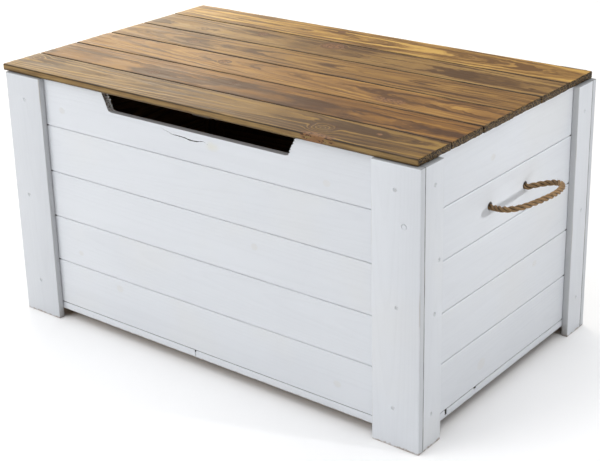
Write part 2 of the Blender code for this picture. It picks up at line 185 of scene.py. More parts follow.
class Finish:
    """The nodes of one finish. Each method adds some and gives the socket that holds the result."""

    def __init__(self, name):
        self.material = bpy.data.materials.new(name)
        self.material.use_nodes = True
        self.tree = self.material.node_tree
        self.tree.nodes.clear()
        self.place = self.add("ShaderNodeTexCoord").outputs["Object"]

    def add(self, kind, **settings):
        node = self.tree.nodes.new(kind)
        for name, value in settings.items():
            setattr(node, name, value)
        return node

    def feed(self, socket, value):
        if isinstance(value, bpy.types.NodeSocket):
            self.tree.links.new(value, socket)
        elif socket.type == "RGBA":
            socket.default_value = (*tuple(value)[:3], 1.0)
        else:
            socket.default_value = value

    def math(self, operation, *values, clamp=False):
        node = self.add("ShaderNodeMath", operation=operation, use_clamp=clamp)
        for socket, value in zip(node.inputs, values):
            self.feed(socket, value)
        return node.outputs[0]

    def times(self, a, b):
        return self.math("MULTIPLY", a, b)

    def plus(self, a, b):
        return self.math("ADD", a, b)

    def minus(self, a, b):
        return self.math("SUBTRACT", a, b)

    def most(self, a, b):
        return self.math("MAXIMUM", a, b)

    def vector(self, operation, *values):
        node = self.add("ShaderNodeVectorMath", operation=operation)
        for socket, value in zip(node.inputs, values):
            self.feed(socket, value)
        return node.outputs["Value" if operation in ("LENGTH", "DISTANCE") else "Vector"]

    def split(self, vector):
        node = self.add("ShaderNodeSeparateXYZ")
        self.feed(node.inputs[0], vector)
        return tuple(node.outputs)

    def join(self, x, y, z):
        node = self.add("ShaderNodeCombineXYZ")
        for socket, value in zip(node.inputs, (x, y, z)):
            self.feed(socket, value)
        return node.outputs[0]

    def noise(self, place, scale, detail=2.0, seed=0.0, distortion=0.0):
        """Smooth noise from 0 to 1. scale is in repeats a metre: one number, or one an axis."""
        if not isinstance(scale, (int, float)):
            place = self.vector("MULTIPLY", place, scale)
            scale = 1.0
        node = self.add("ShaderNodeTexNoise", noise_dimensions="4D")
        self.feed(node.inputs["Vector"], place)
        self.feed(node.inputs["W"], seed)
        self.feed(node.inputs["Scale"], scale)
        self.feed(node.inputs["Detail"], detail)
        self.feed(node.inputs["Distortion"], distortion)
        return node.outputs[0]

    def spread(self, value, start, end, low=0.0, high=1.0):
        """value read from start to end as low to high, with soft ends."""
        node = self.add("ShaderNodeMapRange", interpolation_type="SMOOTHSTEP")
        for name, number in (
            ("Value", value),
            ("From Min", start),
            ("From Max", end),
            ("To Min", low),
            ("To Max", high),
        ):
            self.feed(node.inputs[name], number)
        return node.outputs[0]

    def ramp(self, value, *stops):
        node = self.add("ShaderNodeValToRGB")
        band = node.color_ramp
        while len(band.elements) < len(stops):
            band.elements.new(0.5)
        for element, (position, colour) in zip(band.elements, stops):
            element.position = position
            shade = (colour,) * 3 if isinstance(colour, (int, float)) else tuple(colour)
            element.color = (*shade[:3], 1.0)
        self.feed(node.inputs[0], value)
        return node.outputs[0]

    def mix(self, share, a, b, way="MIX"):
        node = self.add("ShaderNodeMix", data_type="RGBA", blend_type=way, clamp_factor=True)
        self.feed(node.inputs[0], share)
        self.feed(node.inputs[6], a)
        self.feed(node.inputs[7], b)
        return node.outputs[2]

    def shade(self, colour, amount):
        """colour times a number from the nodes."""
        return self.vector("MULTIPLY", colour, self.join(amount, amount, amount))

    def bump(self, height, depth, normal=None):
        node = self.add("ShaderNodeBump")
        self.feed(node.inputs["Height"], height)
        self.feed(node.inputs["Distance"], depth)
        if normal is not None:
            self.feed(node.inputs["Normal"], normal)
        return node.outputs[0]

    def close(self, colour, roughness, normal=None, **constants):
        """Ends the tree in the shader and gives the material."""
        shader = self.add("ShaderNodeBsdfPrincipled")
        self.feed(shader.inputs["Base Color"], colour)
        self.feed(shader.inputs["Roughness"], roughness)
        if normal is not None:
            self.feed(shader.inputs["Normal"], normal)
        for name, value in constants.items():
            self.feed(shader.inputs[name.replace("_", " ").title().replace("Ior", "IOR")], value)
        out = self.add("ShaderNodeOutputMaterial")
        self.tree.links.new(shader.outputs[0], out.inputs["Surface"])
        return self.material


AXES = "XYZ"


def board_axes(finish, low, high, along, outer):
    """(u along the grain, v across the face, w in from the outer face) of a board, in metres.

    outer is the way that the face looks, such as "-Y". u and v count from the middle.
    """
    xyz = finish.split(finish.place)
    middle = (low + high) / 2
    depth = AXES.index(outer[1])
    run = AXES.index(along)
    across = 3 - depth - run
    u = finish.minus(xyz[run], middle[run])
    v = finish.minus(xyz[across], middle[across])
    if outer[0] == "+":
        w = finish.minus(high[depth], xyz[depth])
    else:
        w = finish.minus(xyz[depth], low[depth])
    return u, v, w


def rings(
    finish, board, heart, spacing, sway=0.006, sway_scale=(2.2, 9, 9), knots=(), seed=0.0, pull=0.28
):
    """The growth rings of a flat sawn board, counted from the heart of the log.

    heart is (across, below the face, across per metre, below per metre). Each knot is
    (along, across, radius), with how brown it is if that is not 1. Gives the ring count at a point,
    how far into a knot it is, how brown it is there, how close to a knot it is, the place on the
    board and a slight wobble. pull is how far the rings swing round a knot.
    """
    u, v, w = board
    place = finish.join(u, v, w)
    across, below, lean, climb = heart
    drift = finish.times(finish.minus(finish.noise(place, sway_scale, 2, seed), 0.5), 2 * sway)
    side = finish.plus(finish.minus(finish.plus(v, drift), across), finish.times(u, -lean))
    deep = finish.plus(finish.plus(w, below), finish.times(u, climb))
    count = finish.math("DIVIDE", finish.vector("LENGTH", finish.join(side, deep, 0.0)), spacing)
    inside, brown, halo = 0.0, 0.0, 0.0
    wobble = finish.times(finish.minus(finish.noise(place, (40, 90, 90), 2, seed + 3), 0.5), 0.5)
    for x, y, radius, *fill in knots:
        reach = math.hypot(y - across - lean * x, below + climb * x) / spacing
        along, over = finish.minus(u, x), finish.minus(v, y)
        flat = finish.join(finish.times(along, 0.8), over, 0.0)
        away = finish.math("DIVIDE", finish.vector("LENGTH", flat), radius)
        away = finish.plus(away, finish.times(wobble, 0.7))
        count = finish.math("SMOOTH_MIN", count, finish.times(away, reach), pull * reach)
        drawn = finish.vector("LENGTH", finish.join(finish.times(along, 0.42), over, 0.0))
        drawn = finish.plus(finish.math("DIVIDE", drawn, radius), finish.times(wobble, 3.0))
        core = finish.spread(away, 1.15, 0.75)
        inside = finish.most(inside, core)
        brown = finish.most(brown, finish.times(core, fill[0] if fill else 1.0))
        halo = finish.most(halo, finish.spread(drawn, 3.4, 0.9))
    return count, inside, brown, halo, place, wobble


def fibres(finish, place, seed, fine=1.0):
    """Fine streaks along the grain, from 0 to 1."""
    broad = finish.noise(place, (9, 260 * fine, 260 * fine), 3, seed + 11)
    thin = finish.noise(place, (26, 900 * fine, 900 * fine), 2, seed + 17)
    return finish.plus(finish.times(broad, 0.6), finish.times(thin, 0.4))


# ---------------------------------------------------------------- modelling


def deselect_all():
    if bpy.context.mode != "OBJECT":
        bpy.ops.object.mode_set(mode="OBJECT")
    for obj in bpy.context.view_layer.objects:
        obj.select_set(False)


def activate(obj):
    deselect_all()
    obj.select_set(True)
    bpy.context.view_layer.objects.active = obj
    return obj


def name_new(name):
    """Name the object that an operator has just added, and settle its place into its mesh."""
    obj = bpy.context.active_object
    bpy.ops.object.transform_apply(location=True, rotation=True, scale=True)
    obj.name = name
    obj.data.name = name
    return obj


def add_block(name, low, high):
    deselect_all()
    low, high = Vector(low), Vector(high)
    bpy.ops.mesh.primitive_cube_add(size=1, location=(low + high) / 2, scale=high - low)
    return name_new(name)


def edit_edges(obj, chosen):
    """Enter edit mode with only the edges that chosen(edge) picks selected."""
    activate(obj)
    bpy.ops.object.mode_set(mode="EDIT")
    bpy.ops.mesh.select_mode(type="EDGE")
    bpy.ops.mesh.select_all(action="DESELECT")
    mesh = bmesh.from_edit_mesh(obj.data)
    for edge in mesh.edges:
        edge.select_set(bool(chosen(edge)))
    mesh.select_flush_mode()
    bmesh.update_edit_mesh(obj.data)


def leave_edit():
    bpy.ops.object.mode_set(mode="OBJECT")


def runs_along(edge, axis):
    way = edge.verts[1].co - edge.verts[0].co
    return way.length > 0 and abs(way[axis]) > 0.99 * way.length


def divide(obj, axis, cuts):
    """Cut the piece across, into cuts + 1 lengths along the axis."""
    edit_edges(obj, lambda edge: runs_along(edge, axis))
    bpy.ops.mesh.subdivide(number_cuts=cuts)
    leave_edit()


def round_edges(obj, width, segments=3):
    """Round every sharp edge of a squared piece."""
    edit_edges(
        obj,
        lambda edge: len(edge.link_faces) == 2 and edge.calc_face_angle(0) > math.radians(60),
    )
    bpy.ops.mesh.bevel(offset=width, segments=segments, profile=0.5, affect="EDGES")
    leave_edit()


def apply_modifier(obj, modifier):
    activate(obj)
    bpy.ops.object.modifier_apply(modifier=modifier.name)


def roughen(obj, depth, scale):
    """Give a piece's faces and edges a slight wander."""
    cloud = bpy.data.textures.new(f"{obj.name}_wander", "CLOUDS")
    cloud.noise_scale = scale
    cloud.noise_depth = 2
    modifier = obj.modifiers.new("wander", "DISPLACE")
    modifier.texture = cloud
    modifier.texture_coords = "LOCAL"
    modifier.strength = depth
    modifier.mid_level = 0.5
    apply_modifier(obj, modifier)
    bpy.data.textures.remove(cloud)


def cut_out(obj, cutter):
    """Cut one piece's shape out of another, and delete the cutter."""
    modifier = obj.modifiers.new("cut", "BOOLEAN")
    modifier.operation = "DIFFERENCE"
    modifier.solver = "EXACT"
    modifier.object = cutter
    before = obj.dimensions.copy()
    apply_modifier(obj, modifier)
    bpy.data.objects.remove(cutter, do_unlink=True)
    if min(obj.dimensions[axis] / before[axis] for axis in range(3)) < 0.9:
        raise RuntimeError(f"a cut took away most of {obj.name}")


def join_all(name, pieces):
    deselect_all()
    for piece in pieces:
        piece.select_set(True)
    bpy.context.view_layer.objects.active = pieces[0]
    if len(pieces) > 1:
        bpy.ops.object.join()
    joined = bpy.context.active_object
    joined.name = name
    joined.data.name = name
    return joined


def smooth(obj, angle=35):
    activate(obj)
    bpy.ops.object.shade_smooth_by_angle(angle=math.radians(angle))


def cover(obj, material):
    obj.data.materials.clear()
    obj.data.materials.append(material)


def settle(obj, body, material, replaced=()):
    """Finish a new piece: its material, the body that it moves with, and the hidden parts that it
    replaces.
    """
    cover(obj, material)
    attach(obj, body)
    if replaced:
        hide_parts(*replaced)
    return obj


def dress(node, material):
    """Give a node of the frame its finish."""
    NODES[node].material_slots[0].material = material


# ---------------------------------------------------------------- paint


# Thin spots of the paint: specks of bare wood and knots that show through; and near black painted
# shade for gaps and cracks
SPECK = (0.45, 0.36, 0.27)
PAINTED_KNOT = (0.62, 0.52, 0.33)
GAP_SHADE = (0.07, 0.065, 0.06)
# How far round from its face a wall board is painted
PAINT_REACH = 0.0116


def painted(
    name, low, high, along, outer, seed, knots=(), row_marks=False, raw_back=True, holes=()
):
    """White paint over pine: grain and knots show through, with painted shade in the grooves."""
    paint = bpy.context.scene.bench_paint
    finish = Finish(name)
    board = board_axes(finish, low, high, along, outer)
    u, _, w = board
    heart = (0.02 * math.sin(seed * 2.1), 0.05, 0.02 * math.cos(seed), 0.03 * math.sin(seed * 1.3))
    count, inside, _, _, place, _ = rings(
        finish, board, heart, 0.0042, sway=0.008, knots=knots, seed=seed
    )
    phase = finish.math("FRACT", count)
    ring = finish.ramp(phase, (0, 0.0), (0.6, 0.35), (0.9, 1.0), (1.0, 0.0))
    streak = fibres(finish, place, seed)
    patch = finish.noise(place, (3.5, 11, 11), 3, seed + 5)
    cloud = finish.noise(finish.place, 6, 3, seed + 8)
    thin = finish.plus(finish.times(streak, 0.35), finish.times(patch, 0.65))
    colour = finish.mix(finish.spread(thin, 0.40, 0.80, 0, 0.42), paint.colour, paint.thin)
    warm = tuple(a * b for a, b in zip(paint.colour, (1.0, 0.985, 0.955)))
    colour = finish.mix(finish.spread(cloud, 0.50, 0.72, 0, 0.6), colour, warm)
    colour = finish.shade(colour, finish.spread(ring, 0, 1, 1.0, 0.985))
    specks = finish.noise(finish.place, 420, 1, seed + 2)
    colour = finish.mix(finish.spread(specks, 0.80, 0.88, 0, 0.35), colour, SPECK)
    if knots:
        colour = finish.mix(finish.times(inside, 0.10), colour, PAINTED_KNOT)
    height = finish.plus(finish.times(ring, 0.35), finish.times(streak, 0.65))
    # Painted shade in the grooves, and a painted highlight under them on the side walls.
    if row_marks:
        reach = (high - low)[AXES.index(along)] / 2 - POST_LAPS[along]
        colour = groove_shade_and_highlight(finish, colour, u, along, reach, seed)
    # Painted shade round the rope holes.
    for hole_y, hole_z in holes:
        colour = hole_shade_ring(finish, colour, hole_y, hole_z)
    if raw_back:
        bare = finish.mix(ring, paint.raw, tuple(0.62 * c for c in paint.raw))
        bare = finish.shade(bare, finish.spread(streak, 0.3, 0.7, 0.86, 1.1))
        colour = finish.mix(finish.math("GREATER_THAN", w, PAINT_REACH), colour, bare)
    roughness = finish.spread(streak, 0.2, 0.8, paint.roughness - 0.06, paint.roughness + 0.1)
    normal = finish.bump(height, paint.grain_depth)
    normal = finish.bump(finish.noise(finish.place, 55, 2, seed), 0.0004, normal)
    return finish, colour, roughness, normal


def groove_shade_and_highlight(finish, colour, u, along, reach, seed):
    """Painted shade in the grooves between rows, a painted highlight under them on the side walls,
    and painted shade in the gaps where they run in behind the posts.
    """
    _, _, z = finish.split(finish.place)
    row = finish.math("FRACT", finish.math("DIVIDE", finish.minus(z, STRIP_TOP), ROW_HEIGHT))
    near = finish.minus(0.5, finish.math("ABSOLUTE", finish.minus(row, 0.5)))
    off = finish.times(near, ROW_HEIGHT)
    faint = finish.spread(finish.noise(finish.place, 14, 2, seed), 0.35, 0.65, 0.45, 1.0)
    groove_shade_mask = finish.times(finish.spread(off, 0.0018, 0.0004, 0, 0.24), faint)
    colour = finish.mix(groove_shade_mask, colour, (0.40, 0.41, 0.43))
    if along == "Y":
        # Painted highlight: the lower edge of each groove on the side walls is painted bright.
        under = finish.times(finish.minus(1.0, row), ROW_HEIGHT)
        groove_highlight_mask = finish.spread(under, 0.0042, 0.0026)
        groove_highlight_mask = finish.times(groove_highlight_mask, finish.spread(under, 0.0010, 0.0018))
        colour = finish.mix(finish.times(groove_highlight_mask, 0.55), colour, (0.80, 0.83, 0.87))
    # Painted shade where the grooves run in behind the posts.
    post_gap_shade_mask = finish.spread(finish.math("ABSOLUTE", u), reach - 0.0035, reach - 0.0012)
    post_gap_shade_mask = finish.times(post_gap_shade_mask, finish.spread(off, 0.0019, 0.0011))
    return finish.mix(finish.times(post_gap_shade_mask, 0.85), colour, GAP_SHADE)


def hole_shade_ring(finish, colour, hole_y, hole_z):
    """Painted shade: a dark, uneven ring round a rope hole, set a little high, for the shade down
    in a wider bore above the rope.
    """
    _, y, z = finish.split(finish.place)
    off = finish.join(0.0, finish.minus(y, hole_y), finish.minus(z, hole_z + 0.0016))
    uneven = finish.times(finish.noise(finish.place, 260, 2, 4), 0.0022)
    off = finish.plus(finish.vector("LENGTH", off), uneven)
    return finish.mix(finish.spread(off, 0.0088, 0.0074), colour, (0.035, 0.028, 0.020))


def plain_wood(name, low, high, along, outer, climb, seeds, light, dark, uneven):
    """Bare or thinly stained pine. Gives the finish, its axes, colour and normal, to add to.

    seeds are those of the rings and of the fibres.
    """
    ring_seed, fibre_seed = seeds
    finish = Finish(name)
    board = board_axes(finish, low, high, along, outer)
    count, _, _, _, place, wobble = rings(
        finish, board, (0.01, 0.03, 0.02, climb), 0.004, seed=ring_seed
    )
    phase = finish.math("FRACT", finish.plus(count, wobble))
    ring = finish.ramp(phase, (0, 0), (0.8, 1), (1, 0))
    streak = fibres(finish, place, fibre_seed)
    colour = finish.mix(ring, light, dark)
    colour = finish.shade(colour, finish.spread(streak, 0.3, 0.7, *uneven))
    return finish, board, colour, finish.bump(streak, 0.0003)


WALLS = (
    ("front", "X", "-Y"),
    ("rear", "X", "+Y"),
    ("left_side", "Y", "-X"),
    ("right_side", "Y", "+X"),
)
# Knots that show through the cladding: (along from the middle, across from the middle, radius)
CLADDING_KNOTS = {
    "front_board_1": ((-0.204, 0.022, 0.007), (0.285, -0.012, 0.006)),
    "front_board_3": ((0.12, 0.01, 0.006),),
    "front_board_2": ((-0.30, -0.02, 0.005),),
    "right_side_board_1": ((-0.07, -0.012, 0.010),),
    "right_side_board_2": ((0.10, 0.018, 0.006),),
    "right_side_board_5": ((-0.05, -0.006, 0.006),),
    "left_side_board_2": ((0.05, 0.01, 0.008),),
    "rear_board_4": ((-0.2, 0.01, 0.008),),
    "rear_board_2": ((0.24, -0.015, 0.009),),
}


def rope_holes(wall):
    """(y, z) of the two holes that the rope of a side wall goes through."""
    joint = next(j for j in frame["joints"] if j["name"] == f"handle_{wall[:-5]}_swing")
    _, y, z = joint["pos_m"]
    return [(y + way * HANDLE_ROUTE[-1][0] / 2, z) for way in (-1, 1)]


class BENCH_OT_cladding(bpy.types.Operator):
    """Paint the tongue and groove boards of the four walls"""

    bl_idname = "bench.cladding"
    bl_label = "Cladding"

    def execute(self, context):
        seed = 1.0
        for wall, along, outer in WALLS:
            for row in range(1, 6):
                node = f"{wall}_board_{row}"
                low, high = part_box(node)
                seed += 1.37
                knots = CLADDING_KNOTS.get(node, ())
                holes = rope_holes(wall) if node.endswith("side_board_4") else ()
                finish, colour, roughness, normal = painted(
                    f"{node}_paint", low, high, along, outer, seed, knots, row_marks=True,
                    holes=holes,
                )
                dress(node, finish.close(colour, roughness, normal))
        return {"FINISHED"}


# Screws in a post board: (from its left or front edge, height)
POST_SCREWS = {
    "front_left_post_front_board": ((0.046, 0.428), (0.034, 0.241), (0.045, 0.069)),
    "front_right_post_front_board": ((0.043, 0.432), (0.046, 0.242), (0.040, 0.068)),
    "front_right_post_side_board": ((0.026, 0.438), (0.039, 0.314), (0.028, 0.228), (0.022, 0.059)),
}
SCREW_HEIGHTS = (0.430, 0.240, 0.065)
# Boards painted darker than the rest: painted shade, where the key light falls on them strongly.
POST_PAINTED_SHADE = {"front_left_corner_front_board": 0.90}
# Boards whose narrow faces are painted greyer, and how much
GREYED_EDGES = {"rear_right_corner_side_board": 0.6, "front_left_corner_front_board": 0.45}
# How much of the depth of its sink hole a screw's head leaves open
HEAD_RECESS = 0.8
# The plugged hole in the front right post: (from the post's right edge, height)
PLUG_PLACE = (0.029, 0.377)
PLUG_RADIUS = 0.0043


def screw_places(node, low, high, across, luck):
    """Where a post board's screws go: (across, height) in the frame's own coordinates."""
    if node in POST_SCREWS:
        return [(low[across] + step, z) for step, z in POST_SCREWS[node]]
    middle = (low[across] + high[across]) / 2
    return [
        (middle + luck.uniform(-0.005, 0.005), z + luck.uniform(-0.006, 0.006))
        for z in SCREW_HEIGHTS
    ]


def outward_turn(outer):
    """The turn that brings a thing made facing +Z to face outer."""
    return Vector([int(f"{outer[0]}1") if axis == outer[1] else 0 for axis in AXES]).to_track_quat(
        "Z", "Y"
    ).to_euler()


def screw_model(radius):
    """A slotted countersunk head, facing +Z, its face at the origin."""
    deselect_all()
    bpy.ops.mesh.primitive_cylinder_add(vertices=24, radius=radius, depth=0.0016)
    head = name_new("screw")
    edit_edges(
        head,
        lambda edge: edge.calc_face_angle(0) > 1 and all(v.co.z > 0 for v in edge.verts),
    )
    bpy.ops.mesh.bevel(offset=radius * 0.16, segments=2, affect="EDGES")
    leave_edit()
    long, short = radius * 0.86, radius * 0.36
    cut_out(head, add_block("slot", (-long, -short, -0.0003), (long, short, 0.0018)))
    head.data.transform(Matrix.Translation((0, 0, -0.0008)))
    return head


def screws_at(name, radius, places, luck):
    """Copies of one screw at each (place, outer), turned at random, as one object."""
    model = screw_model(radius)
    copies = []
    for place, outer in places:
        screw = model.copy()
        screw.data = model.data.copy()
        bpy.context.scene.collection.objects.link(screw)
        turn = outward_turn(outer).to_matrix().to_4x4()
        spin = Matrix.Rotation(luck.uniform(0, math.pi), 4, "Z")
        screw.data.transform(Matrix.Translation(place) @ turn @ spin)
        copies.append(screw)
    bpy.data.objects.remove(model, do_unlink=True)
    screws = join_all(name, copies)
    smooth(screws, 30)
    return screws


def sink_hole(place, outer, radius, depth):
    """A cone to cut a countersink with, wide at the face."""
    deselect_all()
    bpy.ops.mesh.primitive_cone_add(
        vertices=28, radius1=radius * 0.72, radius2=radius * 1.28, depth=2 * depth
    )
    cone = name_new("sink")
    turn = outward_turn(outer).to_matrix().to_4x4()
    cone.data.transform(Matrix.Translation(place) @ turn)
    return cone


class BENCH_OT_posts(bpy.types.Operator):
    """Make the corner posts, with rounded edges and sunk screws"""

    bl_idname = "bench.posts"
    bl_label = "Posts"

    def execute(self, context):
        fittings = context.scene.bench_fittings
        recess = fittings.sink * HEAD_RECESS
        luck = random.Random(3)
        seed = 40.0
        heads = []
        for node in sorted(n for n in NODES if "_post_" in n):
            low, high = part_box(node)
            seed += 2.3
            facing = node.rsplit("_post_", 1)[1]
            if facing == "side_board":
                outer = "-X" if "_left_" in node else "+X"
            else:
                outer = "-Y" if facing == "front_board" else "+Y"
            depth = AXES.index(outer[1])
            across = 1 - depth
            name = node.replace("_post", "_corner")
            post = add_block(name, low, high)
            divide(post, 2, 36)
            round_edges(post, 0.0012)
            roughen(post, 0.0005, 0.05)
            skin = low[depth] if outer[0] == "-" else high[depth]
            sinks = []
            for a, z in screw_places(node, low, high, across, luck):
                place = Vector((0, 0, z))
                place[across] = a
                place[depth] = skin
                sinks.append(sink_hole(place, outer, fittings.head / 2, fittings.sink))
                place[depth] = skin + (recess if outer[0] == "-" else -recess)
                heads.append((place, outer))
            if name == "front_right_corner_front_board":
                deselect_all()
                bpy.ops.mesh.primitive_torus_add(
                    major_segments=36,
                    minor_segments=8,
                    major_radius=PLUG_RADIUS,
                    minor_radius=0.0011,
                    location=(RIGHT - PLUG_PLACE[0], low.y, PLUG_PLACE[1]),
                    rotation=(math.radians(86), 0, 0),
                )
                sinks.append(name_new("plug_ring"))
            cut_out(post, join_all("sinks", sinks))
            smooth(post)
            paint = self.post_paint(name, low, high, outer, seed)
            settle(post, "chest", paint, (node,))
        screws = screws_at("post_screws", fittings.head * 0.42, heads, luck)
        finish = Finish("painted_steel")
        blot = finish.noise(finish.place, 700, 3, 1)
        colour = finish.mix(finish.spread(blot, 0.48, 0.66), (0.70, 0.72, 0.75), (0.44, 0.42, 0.39))
        # Painted shade: the slot in each head is painted near black, for the shade down in it.
        x, y, _ = finish.split(finish.place)
        deep = finish.minus(x, LEFT)
        for other in (finish.minus(RIGHT, x), finish.minus(y, FRONT), finish.minus(REAR, y)):
            deep = finish.math("MINIMUM", deep, other)
        slot = finish.spread(deep, recess + 0.0002, recess + 0.0005)
        colour = finish.mix(slot, colour, (0.012, 0.010, 0.009))
        settle(screws, "chest", finish.close(colour, 0.5, finish.bump(blot, 0.0002)))
        return {"FINISHED"}

    def post_paint(self, name, low, high, outer, seed):
        paint = bpy.context.scene.bench_paint
        finish, colour, roughness, normal = painted(
            f"{name}_paint", low, high, "Z", outer, seed, raw_back=False
        )
        x, y, z = finish.split(finish.place)
        top = finish.spread(z, POST_TOP - 0.0012, POST_TOP - 0.0004)
        colour = finish.mix(top, colour, paint.end_grain)
        ragged = finish.noise(finish.place, 130, 3, seed)
        worn = finish.spread(finish.plus(finish.times(ragged, 0.012), z), 0.0100, 0.0060)
        colour = finish.mix(finish.times(worn, 0.75), colour, paint.worn)
        # Painted shade: faces down in the screw holes and the plug ring are painted darker.
        _, _, inward = board_axes(finish, low, high, "Z", outer)
        colour = finish.shade(colour, finish.spread(inward, 0.0005, 0.0010, 1.0, 0.84))
        # Painted shade on the boards that the key light falls on strongly.
        colour = finish.shade(colour, POST_PAINTED_SHADE.get(name, 1.0))
        # The joint between the two boards of the corner.
        joint = high.y if name.startswith("front") == (outer[1] == "Y") else low.y
        seam = finish.spread(finish.math("ABSOLUTE", finish.minus(y, joint)), 0.0010, 0.0005)
        faint = finish.spread(finish.noise(finish.place, 30, 2, seed + 1), 0.3, 0.6, 0.45, 0.9)
        colour = finish.mix(finish.times(seam, faint), colour, (0.10, 0.095, 0.085))
        # Paint rubs off the long edges in places.
        depth = AXES.index(outer[1])
        across = 1 - depth
        middle = (low + high) / 2
        half = (high - low) / 2
        a = finish.math("ABSOLUTE", finish.minus((x, y)[across], middle[across]))
        d = finish.math("ABSOLUTE", finish.minus((x, y)[depth], middle[depth]))
        corner = finish.plus(finish.minus(half[across], a), finish.minus(half[depth], d))
        rub = finish.noise(finish.place, (60, 60, 14), 3, seed + 4)
        edge = finish.times(finish.spread(corner, 0.0016, 0.0008), finish.spread(rub, 0.52, 0.68))
        colour = finish.mix(finish.times(edge, 0.55), colour, (0.42, 0.38, 0.33))
        # The narrow faces of these boards are greyer, and browner near the floor.
        narrow = finish.math("GREATER_THAN", finish.plus(a, 0.0006), half[across])
        narrow = finish.times(narrow, GREYED_EDGES.get(name, 0.0))
        low_down = finish.spread(finish.plus(z, finish.times(ragged, 0.03)), 0.045, 0.018, 0, 0.6)
        colour = finish.mix(finish.times(narrow, 0.6), colour, (0.50, 0.49, 0.47))
        colour = finish.mix(finish.times(narrow, low_down), colour, (0.24, 0.20, 0.16))
        return finish.close(colour, roughness, normal)


# ---------------------------------------------------------------- top front board and strips

SLOT_LENGTH = 0.427
SLOT_OFF_CENTRE = -0.0025
SLOT_DEPTH = 0.035
SLOT_SLOPE = 0.0165
SLOT_CORNER = 0.007
# Rows of points up the slot's ends, and the height of a torn tooth there
SLOT_ROWS = 40
TOOTH_HEIGHT = 0.005
# The split below the slot: (from the middle of the bench, height)
SPLIT = (
    (-0.078, 0.4340),
    (-0.064, 0.4300),
    (-0.051, 0.4265),
    (-0.038, 0.4262),
    (-0.024, 0.4255),
    (-0.010, 0.4238),
    (0.003, 0.4243),
    (0.018, 0.4268),
    (0.024, 0.4245),
    (0.029, 0.4230),
)


def slot_half(z):
    """Half the width of the slot at a height, with its rounded lower corners."""
    up = z - (POST_TOP - SLOT_DEPTH)
    half = SLOT_LENGTH / 2 - SLOT_SLOPE * (1 - min(up, SLOT_DEPTH) / SLOT_DEPTH)
    if up < SLOT_CORNER:
        half -= SLOT_CORNER - math.sqrt(max(0.0, SLOT_CORNER**2 - (SLOT_CORNER - up) ** 2))
        half += 0.0025 * (1 - up / SLOT_CORNER)
    return half


def slot_cutter(middle, outer_face):
    """The hand slot's shape. Its ends are torn a little, more at the back than at the front."""
    block_half = SLOT_LENGTH / 2 - 0.0135
    low = (middle - block_half, outer_face - 0.005, POST_TOP - SLOT_DEPTH)
    high = (middle + block_half, outer_face + 0.017, POST_TOP + 0.005)
    cutter = add_block("slot", low, high)
    divide(cutter, 2, SLOT_ROWS)
    divide(cutter, 1, 9)
    luck = random.Random(8)
    torn = [(luck.uniform(0.35, 1), luck.uniform(0.35, 1)) for _ in range(SLOT_ROWS)]
    for vertex in cutter.data.vertices:
        x, y, z = vertex.co
        if abs(abs(x - middle) - block_half) > 1e-5:
            continue
        side = 1 if x > middle else -1
        tooth = (z - low[2]) / TOOTH_HEIGHT + (0.3 if side > 0 else 0)
        saw = tooth % 1
        behind, before = torn[int(tooth)]
        back = max(0.0, min(1.0, (y - outer_face - 0.006) / 0.006))
        front = max(0.0, min(1.0, (outer_face + 0.003 - y) / 0.003))
        if side > 0:
            chip = 0.0055 * before * saw - 0.0012
        else:
            chip = 0.0006 * front * before * saw - 0.0052 * back * behind * saw
        fade = min(1.0, (z - low[2]) / 0.006)
        vertex.co.x = middle + side * (slot_half(z) + chip * fade)
    return cutter


def split_cutter(points, outer_face, width):
    """A thin wedge along a crack in the face of a board."""
    line = smooth_route([(x, 0, z) for x, z in points], 0.002)
    luck = random.Random(2)
    bm = bmesh.new()
    rows = []
    for i, (x, _, z) in enumerate(line):
        share = i / (len(line) - 1)
        half = width / 2 * (0.18 + math.sin(math.pi * share**1.4)) * luck.uniform(0.6, 1.4)
        z += luck.uniform(-0.00022, 0.00022)
        rows.append(
            [
                bm.verts.new(co)
                for co in (
                    (x, outer_face - 0.001, z + half * 1.4),
                    (x, outer_face + 0.0025, z),
                    (x, outer_face - 0.001, z - half * 1.4),
                )
            ]
        )
    for a, b in zip(rows, rows[1:]):
        for k in range(3):
            n = (k + 1) % 3
            bm.faces.new((a[k], a[n], b[n], b[k]))
    bm.faces.new(rows[0])
    bm.faces.new(rows[-1])
    bmesh.ops.recalc_face_normals(bm, faces=bm.faces)
    mesh = bpy.data.meshes.new("split")
    bm.to_mesh(mesh)
    bm.free()
    obj = bpy.data.objects.new("split", mesh)
    bpy.context.scene.collection.objects.link(obj)
    return obj


def chamfer(obj, chosen, width):
    edit_edges(obj, chosen)
    bpy.ops.mesh.bevel(offset=width, segments=1, affect="EDGES")
    leave_edit()


def notch(low, high, luck, jag=0.0004):
    """A small ragged block to break an edge with."""
    block = add_block("notch", low, high)
    divide(block, 2, 3)
    divide(block, 0, 2)
    divide(block, 1, 2)
    for vertex in block.data.vertices:
        vertex.co += Vector([luck.uniform(-jag, jag) for _ in AXES])
    return block


